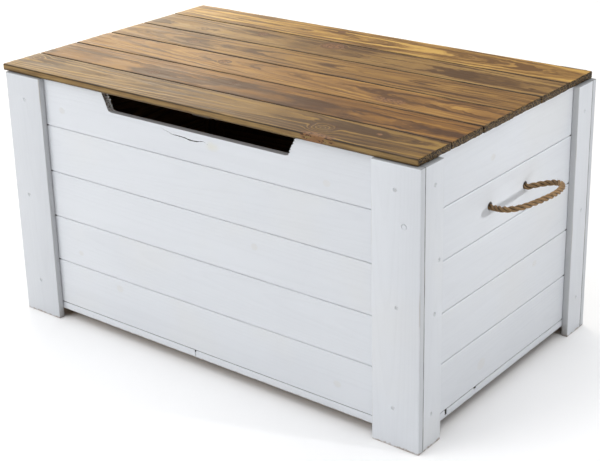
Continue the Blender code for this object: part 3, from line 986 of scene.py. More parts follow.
class BENCH_OT_slot_board(bpy.types.Operator):
    """Make the top front board with its sawn hand slot and the split below it"""

    bl_idname = "bench.slot_board"
    bl_label = "Slot board"

    def execute(self, context):
        node = "front_board_5"
        low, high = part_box(node)
        board = add_block("slot_board", low, high)
        chamfer(
            board,
            lambda edge: runs_along(edge, 0)
            and all(v.co.z < low.z + 0.001 and v.co.y < low.y + 0.001 for v in edge.verts),
            0.0013,
        )
        middle = (LEFT + RIGHT) / 2 + SLOT_OFF_CENTRE
        cut_out(board, slot_cutter(middle, low.y))
        centre = (LEFT + RIGHT) / 2
        cut_out(board, split_cutter([(centre + x, z) for x, z in SPLIT], low.y, 0.0015))
        smooth(board, 30)
        finish, colour, roughness, normal = painted(
            "slot_board_paint", low, high, "X", "-Y", 17.0,
            ((-0.32, -0.01, 0.006), (0.27, -0.02, 0.006)), row_marks=True,
        )
        x, y, z = finish.split(finish.place)
        inward = finish.minus(y, low.y)
        out = finish.math("ABSOLUTE", finish.minus(x, middle))
        floor_half = SLOT_LENGTH / 2 - SLOT_SLOPE
        ends = finish.spread(out, floor_half - 0.006, floor_half - 0.003)
        sawn = finish.spread(inward, 0.0002, 0.0008)
        teeth = finish.noise(finish.place, (90, 260, 420), 3, 6)
        rough = finish.mix(finish.spread(teeth, 0.42, 0.58), (0.20, 0.17, 0.15), (0.66, 0.66, 0.67))
        grey = finish.mix(ends, (0.36, 0.36, 0.37), rough)
        torn = finish.times(finish.noise(finish.place, (10, 10, 380), 2, 3), 0.006)
        rim = finish.spread(finish.plus(inward, torn), 0.0118, 0.0126)
        rim = finish.times(rim, ends)
        grey = finish.mix(rim, grey, (0.90, 0.90, 0.90))
        slot_floor = POST_TOP - SLOT_DEPTH
        above = finish.spread(z, slot_floor - 0.001, slot_floor - 0.0004)
        colour = finish.mix(finish.times(sawn, above), colour, grey)
        # Painted shade inside the split, between the slot and the lower edge of the board's face
        split_shade = finish.spread(z, slot_floor - 0.0015, slot_floor - 0.0020)
        split_shade = finish.times(finish.spread(z, slot_floor - 0.0190, slot_floor - 0.0180), split_shade)
        split_shade = finish.times(split_shade, finish.spread(inward, 0.00005, 0.0004))
        split_shade = finish.times(split_shade, finish.spread(inward, 0.0100, 0.0090))
        colour = finish.mix(split_shade, colour, GAP_SHADE)
        # A yellowish stain where the split ends.
        spot = finish.join(
            finish.times(finish.minus(x, SPLIT[-1][0] + 0.014), 0.6), 0.0,
            finish.minus(z, SPLIT[-1][1] - 0.001),
        )
        blot = finish.noise(finish.place, 90, 3, 9)
        stain = finish.spread(
            finish.plus(finish.vector("LENGTH", spot), finish.times(blot, 0.008)), 0.0155, 0.0045
        )
        colour = finish.mix(finish.times(stain, 0.26), colour, (0.66, 0.62, 0.38))
        settle(board, "chest", finish.close(colour, roughness, normal), (node,))
        return {"FINISHED"}


class BENCH_OT_strips(bpy.types.Operator):
    """Make the ripped strips under the boards, butted and broken as they are"""

    bl_idname = "bench.strips"
    bl_label = "Bottom strips"

    def execute(self, context):
        luck = random.Random(21)
        breaks = {
            "front": (
                ((-0.0196, -0.001, 0.010), (-0.0186, 0.014, 0.040)),
                ((-0.0210, -0.001, 0.0280), (-0.0170, 0.004, 0.034)),
            ),
            "right_side": (
                ((-0.1835, -0.0055, 0.0225), (-0.1770, 0.001, 0.034)),
                ((-0.0882, -0.013, 0.010), (-0.0872, 0.001, 0.040)),
                ((-0.0950, -0.003, 0.0285), (-0.0876, 0.001, 0.034)),
            ),
        }
        for number, (wall, along, outer) in enumerate(WALLS):
            node = f"{wall}_bottom_strip"
            low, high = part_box(node)
            top = STRIP_TOP - 0.0006
            strip = add_block(f"{wall}_strip", low, (high.x, high.y, top))
            run = AXES.index(along)
            divide(strip, run, 40)
            round_edges(strip, 0.0009, 2)
            roughen(strip, 0.0006, 0.03)
            for near, far in breaks.get(wall, ()):
                if wall == "front":
                    a = Vector((near[0], low.y + near[1], near[2]))
                    b = Vector((far[0], low.y + far[1], far[2]))
                else:
                    a = Vector((high.x + near[1], near[0], near[2]))
                    b = Vector((high.x + far[1], far[0], far[2]))
                cut_out(strip, notch(a, b, luck, 0.0002 if b.z > 0.035 else 0.0006))
            smooth(strip)
            finish, colour, roughness, normal = painted(
                f"{wall}_strip_paint", low, high, along, outer, 60.0 + number
            )
            _, _, z = finish.split(finish.place)
            ragged = finish.noise(finish.place, 90, 3, number)
            under = finish.spread(
                finish.plus(finish.times(ragged, 0.004), z), low.z + 0.0042, low.z + 0.0022
            )
            colour = finish.mix(finish.times(under, 0.7), colour, (0.30, 0.27, 0.24))
            # Painted shade: faces more than a millimetre or so in from the outer face, in the
            # breaks and on top and underneath, are painted near black.
            _, _, inward = board_axes(finish, low, high, along, outer)
            colour = finish.mix(finish.spread(inward, 0.0009, 0.0016), colour, (0.10, 0.085, 0.07))
            settle(
                strip, "chest", finish.close(colour, roughness, normal), (node,)
            )
        return {"FINISHED"}


# ---------------------------------------------------------------- lid

# Each plank: its colour, how much lighter or darker the ring lines are, the heart of the log, the
# ring spacing, how far the rings sway, the knots, the dark smudges (along, across, half length,
# half width, strength) and the patches of torn bark
# (along, across, half length, half width).
PLANKS = (
    {
        "base": (0.172, 0.091, 0.020),
        "line": 0.42,
        "heart": (0.012, 0.020, 0.018, 0.030),
        "spacing": 0.0092,
        "sway": 0.015,
        "knots": (
            (-0.430, 0.018, 0.0130, 0.2),
            (0.252, -0.006, 0.0200, 0.0),
            (0.262, -0.050, 0.0160, 0.3),
            (0.342, 0.016, 0.0040),
        ),
        "smudges": ((-0.385, 0.036, 0.045, 0.008, 0.45), (0.227, 0.008, 0.085, 0.020, 0.25)),
        "bark": ((0.268, -0.044, 0.040, 0.018), (0.342, 0.016, 0.007, 0.005)),
    },
    {
        "base": (0.166, 0.071, 0.011),
        "line": -0.28,
        "heart": (-0.020, 0.060, 0.015, 0.010),
        "spacing": 0.0112,
        "sway": 0.012,
        "knots": ((-0.180, -0.022, 0.0090, 0.5), (-0.015, 0.004, 0.0080, 0.3)),
        "smudges": (
            (-0.205, -0.024, 0.055, 0.011, 0.75), (-0.150, -0.010, 0.045, 0.008, 0.35),
            (-0.022, 0.003, 0.070, 0.016, 0.55), (0.159, -0.003, 0.055, 0.016, 0.50),
        ),
        "bark": (),
    },
    {
        "base": (0.225, 0.108, 0.024),
        "line": -0.42,
        "heart": (0.018, 0.055, -0.020, -0.030),
        "spacing": 0.0102,
        "sway": 0.011,
        "knots": ((-0.121, 0.008, 0.0100, 0.5), (0.268, -0.012, 0.0080, 0.5)),
        "smudges": ((-0.180, -0.004, 0.050, 0.006, 0.30), (0.367, 0.040, 0.060, 0.004, 0.60)),
        "bark": ((-0.121, 0.008, 0.014, 0.010), (0.258, -0.018, 0.042, 0.014)),
    },
    {
        "base": (0.200, 0.100, 0.024),
        "line": -0.46,
        "heart": (0.004, 0.022, 0.012, -0.050),
        "spacing": 0.0112,
        "sway": 0.012,
        "knots": ((-0.262, -0.008, 0.0110, 0.4),),
        "smudges": ((-0.300, -0.002, 0.040, 0.008, 0.35), (0.250, -0.020, 0.160, 0.004, 0.40)),
        "bark": (),
    },
    {
        "base": (0.200, 0.108, 0.031),
        "line": -0.36,
        "heart": (-0.010, 0.050, 0.010, 0.020),
        "spacing": 0.0108,
        "sway": 0.011,
        "knots": ((-0.020, 0.020, 0.0200, 0.8), (-0.189, 0.018, 0.0090, 0.9)),
        "smudges": ((-0.189, 0.018, 0.040, 0.008, 0.70), (0.030, 0.024, 0.080, 0.008, 0.50)),
        "bark": ((-0.020, 0.020, 0.032, 0.014),),
    },
    {
        "base": (0.330, 0.180, 0.044),
        "line": 0.52,
        "heart": (0.000, 0.014, 0.004, 0.060),
        "spacing": 0.0130,
        "sway": 0.013,
        "knots": ((-0.069, 0.024, 0.0080, 0.7),),
        "smudges": ((-0.069, 0.024, 0.050, 0.010, 0.40),),
        "bark": (),
    },
)
# The stain at its darkest, lighter and lightest, as shares of a plank's own colour
DARK, LIGHT, BRIGHT = (0.40, 0.34, 0.30), (1.32, 1.40, 1.38), (1.62, 1.82, 1.84)


# The stain soaks in, so little of the light comes back off the face of the wood.
LID_SHINE = 0.28
# Noise drawn out along the rings: (repeats a metre, repeats a ring, detail, share of the tone)
DRAWN_OUT = ((1.5, 0.8, 2, 0.60), (5, 2.4, 2, 1.20), (10, 4.4, 1, 0.75))
# Thin dark and light lines in the grain: (seed, share of the tone)
THIN_LINES = ((51, -0.40), (57, 0.32), (63, 0.24), (69, -0.28))
KNOT_RIM = (0.075, 0.030, 0.013)


def oval(finish, board, x, y, length, width):
    """How far a point of the board is from (x, y), where 1 is the edge of the oval."""
    u, v, _ = board
    flat = finish.join(
        finish.math("DIVIDE", finish.minus(u, x), length),
        finish.math("DIVIDE", finish.minus(v, y), width),
        0.0,
    )
    return finish.vector("LENGTH", flat)


def stain_tone(finish, board, look, seed, ring, streak, traits):
    """How light the stained wood is at a point, before its colour."""
    u, _, w = board
    count, halo, place, wobble = traits
    fresh = finish.add("ShaderNodeTexWhiteNoise", noise_dimensions="1D")
    finish.feed(fresh.inputs["W"], finish.plus(finish.math("FLOOR", count), seed))
    strength = finish.spread(fresh.outputs[0], 0, 1, 0.25, 1.0)

    def grain(along, over, detail, number):
        drawn = finish.join(finish.times(u, along), finish.times(count, over), finish.times(w, 90))
        return finish.minus(finish.noise(drawn, 1, detail, seed + number), 0.5)

    lines = finish.times(finish.times(ring, strength), look["line"])
    tone = finish.plus(0.42 - 0.30 * look["line"], lines)
    for along, over, detail, share in DRAWN_OUT:
        tone = finish.plus(tone, finish.times(grain(along, over, detail, along), share))
    tone = finish.plus(tone, finish.times(finish.minus(streak, 0.5), 0.75))
    blotch = finish.minus(finish.noise(place, (4.0, 18, 18), 3, seed + 5), 0.5)
    tone = finish.plus(tone, finish.times(blotch, 0.60))
    for number, weight in THIN_LINES:
        thin_line = finish.spread(grain(5, 2.4, 1, number), 0.09, 0.15)
        tone = finish.plus(tone, finish.times(thin_line, weight))
    smoke = finish.spread(finish.noise(place, (6.0, 16, 16), 2, seed + 9), 0.60, 0.78, 0, 0.20)
    tone = finish.minus(tone, finish.plus(smoke, finish.times(halo, 0.22)))
    tone = finish.plus(tone, finish.times(finish.minus(ring, 0.5), finish.times(halo, 0.55)))
    for *where, strength in look["smudges"]:
        away = finish.plus(oval(finish, board, *where), finish.times(wobble, 1.6))
        tone = finish.minus(tone, finish.spread(away, 1.3, 0.2, 0, strength * 0.8))
    return tone


def gap_shade_and_sawn_side(finish, board, colour, half, streak, ragged, open_side):
    """Painted shade along the arrises and down in the gaps, and the pale sawn side of a plank at
    the edge of the lid, with painted shade on its lower arris.
    """
    _, v, w = board
    # Painted shade along the arrises beside the gaps.
    flank = finish.math("ABSOLUTE", v)
    edge = finish.plus(flank, finish.times(ragged, 0.0060))
    edge = finish.spread(edge, half.y + 0.0004, half.y + 0.0018)
    colour = finish.shade(colour, finish.spread(edge, 0, 1, 1.0, 0.30))
    side = finish.spread(w, 0.0010, 0.0030)
    beside = finish.times(side, finish.spread(flank, half.y - 0.003, half.y - 0.001))
    if open_side:
        shown = finish.math("GREATER_THAN", finish.times(v, open_side), 0.0)
        shown = finish.times(beside, shown)
        golden = finish.mix(
            finish.spread(streak, 0.35, 0.65), (0.20, 0.115, 0.040), (0.36, 0.235, 0.085)
        )
        lower = finish.plus(w, finish.times(ragged, 0.004))
        # Painted shade on the lower arris of the open side.
        golden = finish.shade(golden, finish.spread(lower, 0.0095, 0.0125, 1.0, 0.42))
        colour = finish.mix(finish.times(shown, 0.85), colour, golden)
        beside = finish.minus(beside, shown)
    # Painted shade on the sides of the planks down in the gaps.
    return finish.shade(colour, finish.spread(beside, 0, 1, 1.0, 0.25))


def torn_bark(finish, board, colour, place, patch, seed):
    """A patch of bark and torn fibres in the face of a plank."""
    torn = finish.noise(place, (70, 190, 190), 3, seed + 40)
    near = finish.spread(oval(finish, board, *patch), 1.15, 0.55)
    torn = finish.spread(finish.plus(finish.times(near, 0.20), torn), 0.620, 0.665)
    flake = finish.noise(place, (160, 300, 300), 2, seed + 44)
    bark = finish.mix(
        finish.spread(flake, 0.52, 0.60), (0.215, 0.103, 0.038), (0.042, 0.014, 0.007)
    )
    return finish.mix(finish.times(torn, near), colour, bark)


def sawn_end(finish, board, colour, half, ragged, seed):
    """Dark, speckled end grain at both ends of a plank."""
    reach = finish.plus(finish.math("ABSOLUTE", board[0]), finish.times(ragged, 0.0016))
    end = finish.spread(reach, half.x - 0.0010, half.x - 0.0002)
    speck = finish.noise(finish.place, (60, 330, 420), 4, seed + 60)
    sawn = finish.mix(
        finish.spread(speck, 0.44, 0.60), (0.016, 0.009, 0.005), (0.150, 0.095, 0.036)
    )
    return finish.mix(end, colour, sawn)


def stained(name, low, high, look, seed, open_side=0):
    """Stained pine: growth rings that part round the knots, fine fibres, blotches and dark ends."""
    lid = bpy.context.scene.bench_lid
    finish = Finish(name)
    board = board_axes(finish, low, high, "X", "+Z")
    count, inside, brown, halo, place, wobble = rings(
        finish,
        board,
        look["heart"],
        look["spacing"],
        sway=look["sway"],
        sway_scale=(1.9, 12, 12),
        knots=look["knots"],
        seed=seed,
        pull=0.5,
    )
    count = finish.plus(count, wobble)
    phase = finish.math("FRACT", count)
    ring = finish.ramp(phase, (0, 0.0), (0.45, 0.12), (0.72, 1.0), (0.90, 1.0), (1.0, 0.0))
    streak = fibres(finish, place, seed, 0.6)
    traits = (count, halo, place, wobble)
    tone = stain_tone(finish, board, look, seed, ring, streak, traits)
    base = look["base"]
    colour = finish.ramp(
        tone,
        (0.08, [a * b for a, b in zip(base, DARK)]),
        (0.44, base),
        (0.66, [a * b for a, b in zip(base, LIGHT)]),
        (0.92, [a * b for a, b in zip(base, BRIGHT)]),
    )
    heart_wood = finish.mix(ring, (0.19, 0.075, 0.028), (0.065, 0.027, 0.012))
    colour = finish.mix(finish.times(brown, 0.85), colour, heart_wood)
    rim = finish.times(inside, finish.minus(1.0, inside))
    colour = finish.mix(finish.times(rim, 1.8), colour, KNOT_RIM)
    half = (high - low) / 2
    ragged = finish.noise(place, (28, 28, 28), 3, seed + 50)
    colour = gap_shade_and_sawn_side(finish, board, colour, half, streak, ragged, open_side)
    for patch in look["bark"]:
        colour = torn_bark(finish, board, colour, place, patch, seed)
    colour = sawn_end(finish, board, colour, half, ragged, seed)
    height = finish.plus(finish.times(ring, 0.5), finish.times(streak, 0.5))
    roughness = finish.spread(streak, 0.2, 0.8, lid.roughness - 0.06, lid.roughness + 0.14)
    normal = finish.bump(height, lid.grain_depth)
    normal = finish.bump(finish.noise(place, (12, 60, 60), 2, seed + 70), 0.0006, normal)
    return finish.close(colour, roughness, normal, specular_ior_level=LID_SHINE)


def ragged_ends(plank, luck, depth=0.0007):
    """Leave the sawn ends of a plank uneven."""
    ends = {}
    left = min(vertex.co.x for vertex in plank.data.vertices)
    right = max(vertex.co.x for vertex in plank.data.vertices)
    for vertex in plank.data.vertices:
        x, y, _ = vertex.co
        if min(x - left, right - x) < 0.004:
            key = (x - left < right - x, round(y, 4))
            vertex.co.x += ends.setdefault(key, luck.uniform(-depth, depth))


class BENCH_OT_lid(bpy.types.Operator):
    """Make the six stained planks of the lid"""

    bl_idname = "bench.lid"
    bl_label = "Lid planks"

    def execute(self, context):
        lid = context.scene.bench_lid
        luck = random.Random(11)
        for number, look in enumerate(PLANKS, 1):
            node = f"lid_plank_{number}"
            low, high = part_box(node)
            shift = [Vector((luck.uniform(-0.0006, 0.0012), 0, 0)) for _ in SIDES]
            plank = add_block(f"plank_{number}", low + shift[0], high - shift[1])
            divide(plank, 0, 44)
            divide(plank, 1, 15)
            ragged_ends(plank, luck)
            round_edges(plank, lid.arris)
            roughen(plank, lid.wander, 0.045)
            smooth(plank)
            open_side = {1: -1, len(PLANKS): 1}.get(number, 0)
            material = stained(
                f"plank_{number}_stain", low, high, look, 7.0 * number, open_side
            )
            settle(plank, "lid", material, (node,))
        for name in ("left", "middle", "right"):
            node = f"lid_batten_{name}"
            low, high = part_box(node)
            dress(node, batten_finish(node, low, high, luck.uniform(0, 50)))
        return {"FINISHED"}


def batten_finish(name, low, high, seed):
    """Thinly stained pine with dark sawn ends, for the lid's battens."""
    finish, board, colour, normal = plain_wood(
        f"{name}_stain", low, high, "Y", "-Z", 0.03, (seed, seed),
        (0.30, 0.18, 0.085), (0.19, 0.105, 0.05), (0.8, 1.15),
    )
    reach = (high.y - low.y) / 2
    end = finish.spread(finish.math("ABSOLUTE", board[0]), reach - 0.0012, reach - 0.0004)
    colour = finish.mix(end, colour, (0.016, 0.010, 0.006))
    return finish.close(colour, 0.55, normal)


# ---------------------------------------------------------------- rope

# Loop of the handle: along the side from the front hole, and out from the axis it swings on.
HANDLE_ROUTE = (
    (0.0, 0.0),
    (-0.003, 0.006),
    (-0.008, 0.016),
    (-0.012, 0.027),
    (-0.013, 0.039),
    (-0.009, 0.050),
    (0.002, 0.060),
    (0.018, 0.067),
    (0.037, 0.073),
    (0.058, 0.0775),
    (0.080, 0.0765),
    (0.100, 0.071),
    (0.117, 0.061),
    (0.127, 0.049),
    (0.130, 0.037),
    (0.1275, 0.025),
    (0.1225, 0.014),
    (0.1165, 0.006),
    (0.1125, 0.0),
)
HANDLE_TILT = math.radians(15)
STRANDS = 3
STRAND_POINTS = 16
ROPE_STEP = 0.0013


def smooth_route(points, step):
    """Points about one step apart on a smooth curve through the given ones."""
    points = [np.array(p, float) for p in points]
    ends = [2 * points[0] - points[1], *points, 2 * points[-1] - points[-2]]
    found = []
    for before, here, there, after in zip(ends, ends[1:], ends[2:], ends[3:]):
        pieces = max(1, round(float(np.linalg.norm(there - here)) / step))
        for i in range(pieces):
            t = i / pieces
            found.append(
                0.5
                * (
                    2 * here
                    + (there - before) * t
                    + (2 * before - 5 * here + 4 * there - after) * t**2
                    + (3 * here - before - 3 * there + after) * t**3
                )
            )
    found.append(points[-1])
    return np.array(found)


def frames_along(line):
    """Tangent and two crossing unit vectors at each point, turning as little as can be."""
    tangent = np.gradient(line, axis=0)
    tangent /= np.linalg.norm(tangent, axis=1)[:, None]
    first = np.cross(tangent[0], (0, 0, 1.0))
    if np.linalg.norm(first) < 0.1:
        first = np.cross(tangent[0], (0, 1.0, 0))
    across = [first / np.linalg.norm(first)]
    for t in tangent[1:]:
        n = across[-1] - t * np.dot(across[-1], t)
        across.append(n / np.linalg.norm(n))
    across = np.array(across)
    return tangent, across, np.cross(tangent, across)


def laid_rope(name, line, diameter, lay, taper=None):
    """A three strand rope along a line of points, as one closed mesh with a UV map."""
    radius = diameter / 2
    strand = radius * 0.52
    offset = radius * 0.48
    _, across, upward = frames_along(line)
    run = np.concatenate(([0], np.cumsum(np.linalg.norm(np.diff(line, axis=0), axis=1))))
    half = math.pi / STRANDS
    # Where a strand's circle meets its neighbour's, seen from the strand's own middle
    inner = offset * math.cos(half) + math.sqrt(strand**2 - (offset * math.sin(half)) ** 2)
    widest = math.atan2(inner * math.sin(half), inner * math.cos(half) - offset)
    count = STRANDS * STRAND_POINTS
    points, uvs = [], []
    for i, s in enumerate(run):
        size = 1.0 if taper is None else taper(s, run[-1])
        for k in range(STRANDS):
            base = math.tau * (k / STRANDS + s / lay)
            for j in range(STRAND_POINTS):
                turn = widest * (2 * j / STRAND_POINTS - 1)
                yarn = 1 + 0.045 * math.cos(7 * turn + math.tau * s / (lay * 0.42) + k)
                a = offset + strand * yarn * math.cos(turn)
                b = strand * yarn * math.sin(turn)
                ca, sa = math.cos(base), math.sin(base)
                x, y = (a * ca - b * sa) * size, (a * sa + b * ca) * size
                points.append(line[i] + across[i] * x + upward[i] * y)
                uvs.append((s, (k + j / STRAND_POINTS) / STRANDS))
    faces, loops = [], []
    for i in range(len(run) - 1):
        for j in range(count):
            k = (j + 1) % count
            faces.append(
                (i * count + j, i * count + k, (i + 1) * count + k, (i + 1) * count + j)
            )
            v0 = uvs[i * count + j][1]
            v1 = v0 + 1 / count
            loops += [(run[i], v0), (run[i], v1), (run[i + 1], v1), (run[i + 1], v0)]
    for row, order in ((0, -1), (len(run) - 1, 1)):
        middle = len(points)
        points.append(line[row])
        for j in range(count):
            k = (j + 1) % count
            trio = (row * count + j, row * count + k, middle)
            faces.append(trio if order > 0 else trio[::-1])
            loops += [(run[row], j / count)] * 3
    mesh = bpy.data.meshes.new(name)
    mesh.from_pydata([tuple(p) for p in points], [], faces)
    layer = mesh.uv_layers.new(name="strands")
    layer.data.foreach_set("uv", np.array(loops, float).ravel())
    mesh.update()
    obj = bpy.data.objects.new(name, mesh)
    bpy.context.scene.collection.objects.link(obj)
    activate(obj)
    bpy.ops.object.mode_set(mode="EDIT")
    bpy.ops.mesh.select_all(action="SELECT")
    bpy.ops.mesh.normals_make_consistent(inside=False)
    bpy.ops.object.mode_set(mode="OBJECT")
    bpy.ops.object.shade_smooth()
    return obj


def jute(name):
    rope = bpy.context.scene.bench_rope
    finish = Finish(name)
    uv = finish.add("ShaderNodeUVMap", uv_map="strands").outputs[0]
    s, v, _ = finish.split(uv)
    # The yarns lie against the strands' turn, nearly in line with the rope.
    slant = finish.plus(v, finish.times(s, -1 / (rope.lay * 1.25)))
    thread = finish.join(finish.times(s, 55), finish.times(slant, 90), 0.0)
    fine = finish.noise(thread, 1.0, 3, 2)
    hair = finish.noise(finish.vector("MULTIPLY", thread, (2.0, 2.6, 1)), 1.0, 2, 7)
    patch = finish.noise(finish.place, 70, 3, 4)
    fibre = finish.plus(finish.times(fine, 0.6), finish.times(hair, 0.4))
    across = finish.math("FRACT", finish.times(v, STRANDS))
    groove = finish.math("ABSOLUTE", finish.minus(finish.times(across, 2), 1))
    # The yarn pattern: darker fibres, and painted shade between the yarns.
    colour = finish.mix(finish.spread(fibre, 0.36, 0.62), rope.shade, rope.colour)
    colour = finish.mix(finish.spread(patch, 0.45, 0.7, 0, 0.55), colour, (0.46, 0.29, 0.13))
    # Painted shade in the grooves between the strands.
    colour = finish.shade(colour, finish.spread(groove, 0.55, 0.98, 1.0, 0.22))
    normal = finish.bump(fibre, 0.0008)
    return finish.close(colour, 0.88, normal, sheen_weight=0.05, sheen_roughness=0.6)


def add_fuzz(obj, line, radius, count, luck):
    """Loose fibres that stand off the rope, each a thin three sided spike rooted in a strand."""
    tangent, across, upward = frames_along(line)
    bm = bmesh.new()
    bm.from_mesh(obj.data)
    layer = bm.loops.layers.uv.active
    for _ in range(count):
        i = luck.randrange(4, len(line) - 4)
        turn = luck.uniform(0, math.tau)
        out = across[i] * math.cos(turn) + upward[i] * math.sin(turn)
        side = np.cross(tangent[i], out)
        way = tangent[i] * luck.uniform(-1, 1) + side * luck.uniform(-0.8, 0.8)
        way += out * luck.uniform(0.15, 0.9)
        way /= np.linalg.norm(way)
        length = luck.uniform(0.002, 0.0055)
        root = line[i] + out * radius * 0.86
        middle = root + way * length * 0.55
        lift = min(0.0022, length * 0.3)
        tip = root + way * length + out * luck.uniform(-lift, lift)
        reach = np.linalg.norm(tip - line[i])
        if reach > radius + 0.0030:
            tip = line[i] + (tip - line[i]) * (radius + 0.0030) / reach
        thick = luck.uniform(0.00005, 0.0001)
        ring_a, ring_b = [], []
        for k in range(3):
            spin = math.tau * k / 3
            offset = (side * math.cos(spin) + out * math.sin(spin)) * thick
            ring_a.append(bm.verts.new(root + offset))
            ring_b.append(bm.verts.new(middle + offset * 0.8))
        point = bm.verts.new(tip)
        made = []
        for k in range(3):
            n = (k + 1) % 3
            made.append(bm.faces.new((ring_a[k], ring_a[n], ring_b[n], ring_b[k])))
            made.append(bm.faces.new((ring_b[k], ring_b[n], point)))
        made.append(bm.faces.new(ring_a[::-1]))
        for face in made:
            for loop in face.loops:
                loop[layer].uv = (i * ROPE_STEP, 0.5)
    bm.to_mesh(obj.data)
    bm.free()


def knot_line(hole, side):
    """The rope inside the chest: a stopper turn round itself, and a short tail."""
    inward = np.array((-side, 0, 0), float)
    across, upward = np.array((0, 1.0, 0)), np.array((0, 0, 1.0))
    route = [(0.0, 0, 0), (0.006, 0, 0), (0.012, 0, 0), (0.0165, 0.0015, 0.0005)]
    for step in range(9):
        turn = math.radians(20 + 50 * step)
        reach = 0.0068
        route.append((0.0185 - 0.0125 * step / 8, reach * math.cos(turn), reach * math.sin(turn)))
    route += [(0.0085, 0.014, 0.003), (0.013, 0.0165, -0.004), (0.019, 0.0165, -0.012)]
    return smooth_route(
        [hole + inward * a + across * b + upward * c for a, b, c in route], ROPE_STEP * 1.3
    )


class BENCH_OT_handles(bpy.types.Operator):
    """Lay the two rope handles and knot their ends inside the chest"""

    bl_idname = "bench.handles"
    bl_label = "Rope handles"

    def execute(self, context):
        rope = context.scene.bench_rope
        material = jute("jute_rope")
        luck = random.Random(5)
        for name, side in SIDES:
            wall_low, wall_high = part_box(f"{name}_side_board_4")
            outer = wall_high.x if side > 0 else wall_low.x
            inner = wall_low.x if side > 0 else wall_high.x
            axis = outer + side * (rope.diameter / 2 + 0.0003)
            joint = next(j for j in frame["joints"] if j["name"] == f"handle_{name}_swing")
            middle_y, height = joint["pos_m"][1], joint["pos_m"][2]
            front_hole = middle_y - HANDLE_ROUTE[-1][0] / 2
            rear_hole = middle_y + HANDLE_ROUTE[-1][0] / 2
            loop = [
                (
                    axis + side * out * math.cos(HANDLE_TILT),
                    front_hole + along,
                    height + out * math.sin(HANDLE_TILT),
                )
                for along, out in HANDLE_ROUTE
            ]
            route = [(inner, front_hole, height), (outer, front_hole, height), *loop]
            route += [(outer, rear_hole, height), (inner, rear_hole, height)]
            line = smooth_route(route, ROPE_STEP)
            handle = laid_rope(f"rope_{name}", line, rope.diameter, rope.lay)
            add_fuzz(handle, line[12:-12], rope.diameter / 2, rope.fibres, luck)
            cover(handle, material)
            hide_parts(f"handle_{name}_rope")
            for end, y in (("front", front_hole), ("rear", rear_hole)):
                inside = knot_line(np.array((inner, y, height)), side)
                knot = laid_rope(f"knot_{name}_{end}", inside, rope.diameter * 0.93, rope.lay)
                settle(knot, "chest", material, (f"handle_{name}_{end}_knot",))
            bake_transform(handle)
        return {"FINISHED"}


# ---------------------------------------------------------------- fittings and inside

# Screws of a hinge leaf: from its middle and from its outer edge
HINGE_SCREW_STEP = 0.016
HINGE_SCREW_INSET = 0.0042
HINGE_SCREW_RADIUS = 0.0024


class BENCH_OT_fittings(bpy.types.Operator):
    """Finish the hinges and put their screws and the lid's in"""

    bl_idname = "bench.fittings"
    bl_label = "Hinges"

    def execute(self, context):
        fittings = context.scene.bench_fittings
        finish = Finish("zinc")
        spangle = finish.noise(finish.place, 260, 3, 1)
        scratch = finish.noise(finish.place, (900, 60, 900), 2, 2)
        colour = finish.shade(fittings.zinc, finish.spread(spangle, 0.3, 0.7, 0.8, 1.08))
        roughness = finish.spread(scratch, 0.2, 0.8, 0.28, 0.5)
        zinc = finish.close(colour, roughness, finish.bump(scratch, 0.00005), metallic=1.0)
        luck = random.Random(17)
        chest_screws, lid_screws = [], []
        for node in sorted(NODES):
            if node.startswith("hinge_"):
                dress(node, zinc)
            if not node.endswith("_leaf"):
                continue
            low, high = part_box(node)
            on_lid = node.endswith("lid_leaf")
            middle = (low + high) / 2
            height = high.z - HINGE_SCREW_INSET if on_lid else low.z + HINGE_SCREW_INSET
            for step in (-1, 1):
                place = Vector((middle.x + step * HINGE_SCREW_STEP, high.y + 0.0004, height))
                (lid_screws if on_lid else chest_screws).append((place, "+Y"))
        # One screw into each plank through each batten.
        for name in ("left", "middle", "right"):
            low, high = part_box(f"lid_batten_{name}")
            for number in range(1, len(PLANKS) + 1):
                near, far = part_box(f"lid_plank_{number}")
                y = min(max((near.y + far.y) / 2, low.y + 0.02), high.y - 0.02)
                x = (low.x + high.x) / 2 + luck.uniform(-0.003, 0.003)
                place = Vector((x, y, low.z - 0.0003))
                lid_screws.append((place, "-Z"))
        for name, body, places in (
            ("hinge_screws", "chest", chest_screws), ("lid_screws", "lid", lid_screws)
        ):
            screws = screws_at(name, HINGE_SCREW_RADIUS, places, luck)
            settle(screws, body, zinc)
        return {"FINISHED"}


class BENCH_OT_inside(bpy.types.Operator):
    """Finish the corner battens, the cleats and the floor of the chest"""

    bl_idname = "bench.inside"
    bl_label = "Inside"

    def execute(self, context):
        raw = tuple(context.scene.bench_paint.raw)
        for number, node in enumerate(sorted(NODES)):
            if node.startswith("corner_batten"):
                along, outer = "Z", "+Y"
            elif node.startswith("floor_cleat"):
                along, outer = "X", "+Y"
            elif node == "floor_panel":
                along, outer = "X", "+Z"
            else:
                continue
            low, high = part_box(node)
            finish, _, colour, normal = plain_wood(
                f"{node}_wood", low, high, along, outer, 0.02, (number * 1.7, number),
                raw, tuple(0.66 * c for c in raw), (0.86, 1.1),
            )
            dress(node, finish.close(colour, 0.62, normal))
        return {"FINISHED"}


# ---------------------------------------------------------------- stage


# (name, place, what it points at, size, spread in degrees, tint)
LAMPS = (
    ("key", (-1.5, -3.0, 2.1), (0.0, 0.0, 0.3), 2.2, 180, (1, 1, 1)),
    ("side", (1.6, 0.12, 0.75), (0.45, 0.0, 0.40), 0.05, 80, (1, 1, 1)),
    ("top", (-0.5, 0.9, 3.5), (-0.5, 0.9, 0.0), 7.0, 180, (1, 1, 1)),
    ("sheen", (-3.0, 2.2, 1.3), (-0.3, 0.0, 0.45), 1.6, 180, (1.0, 0.87, 0.68)),
)


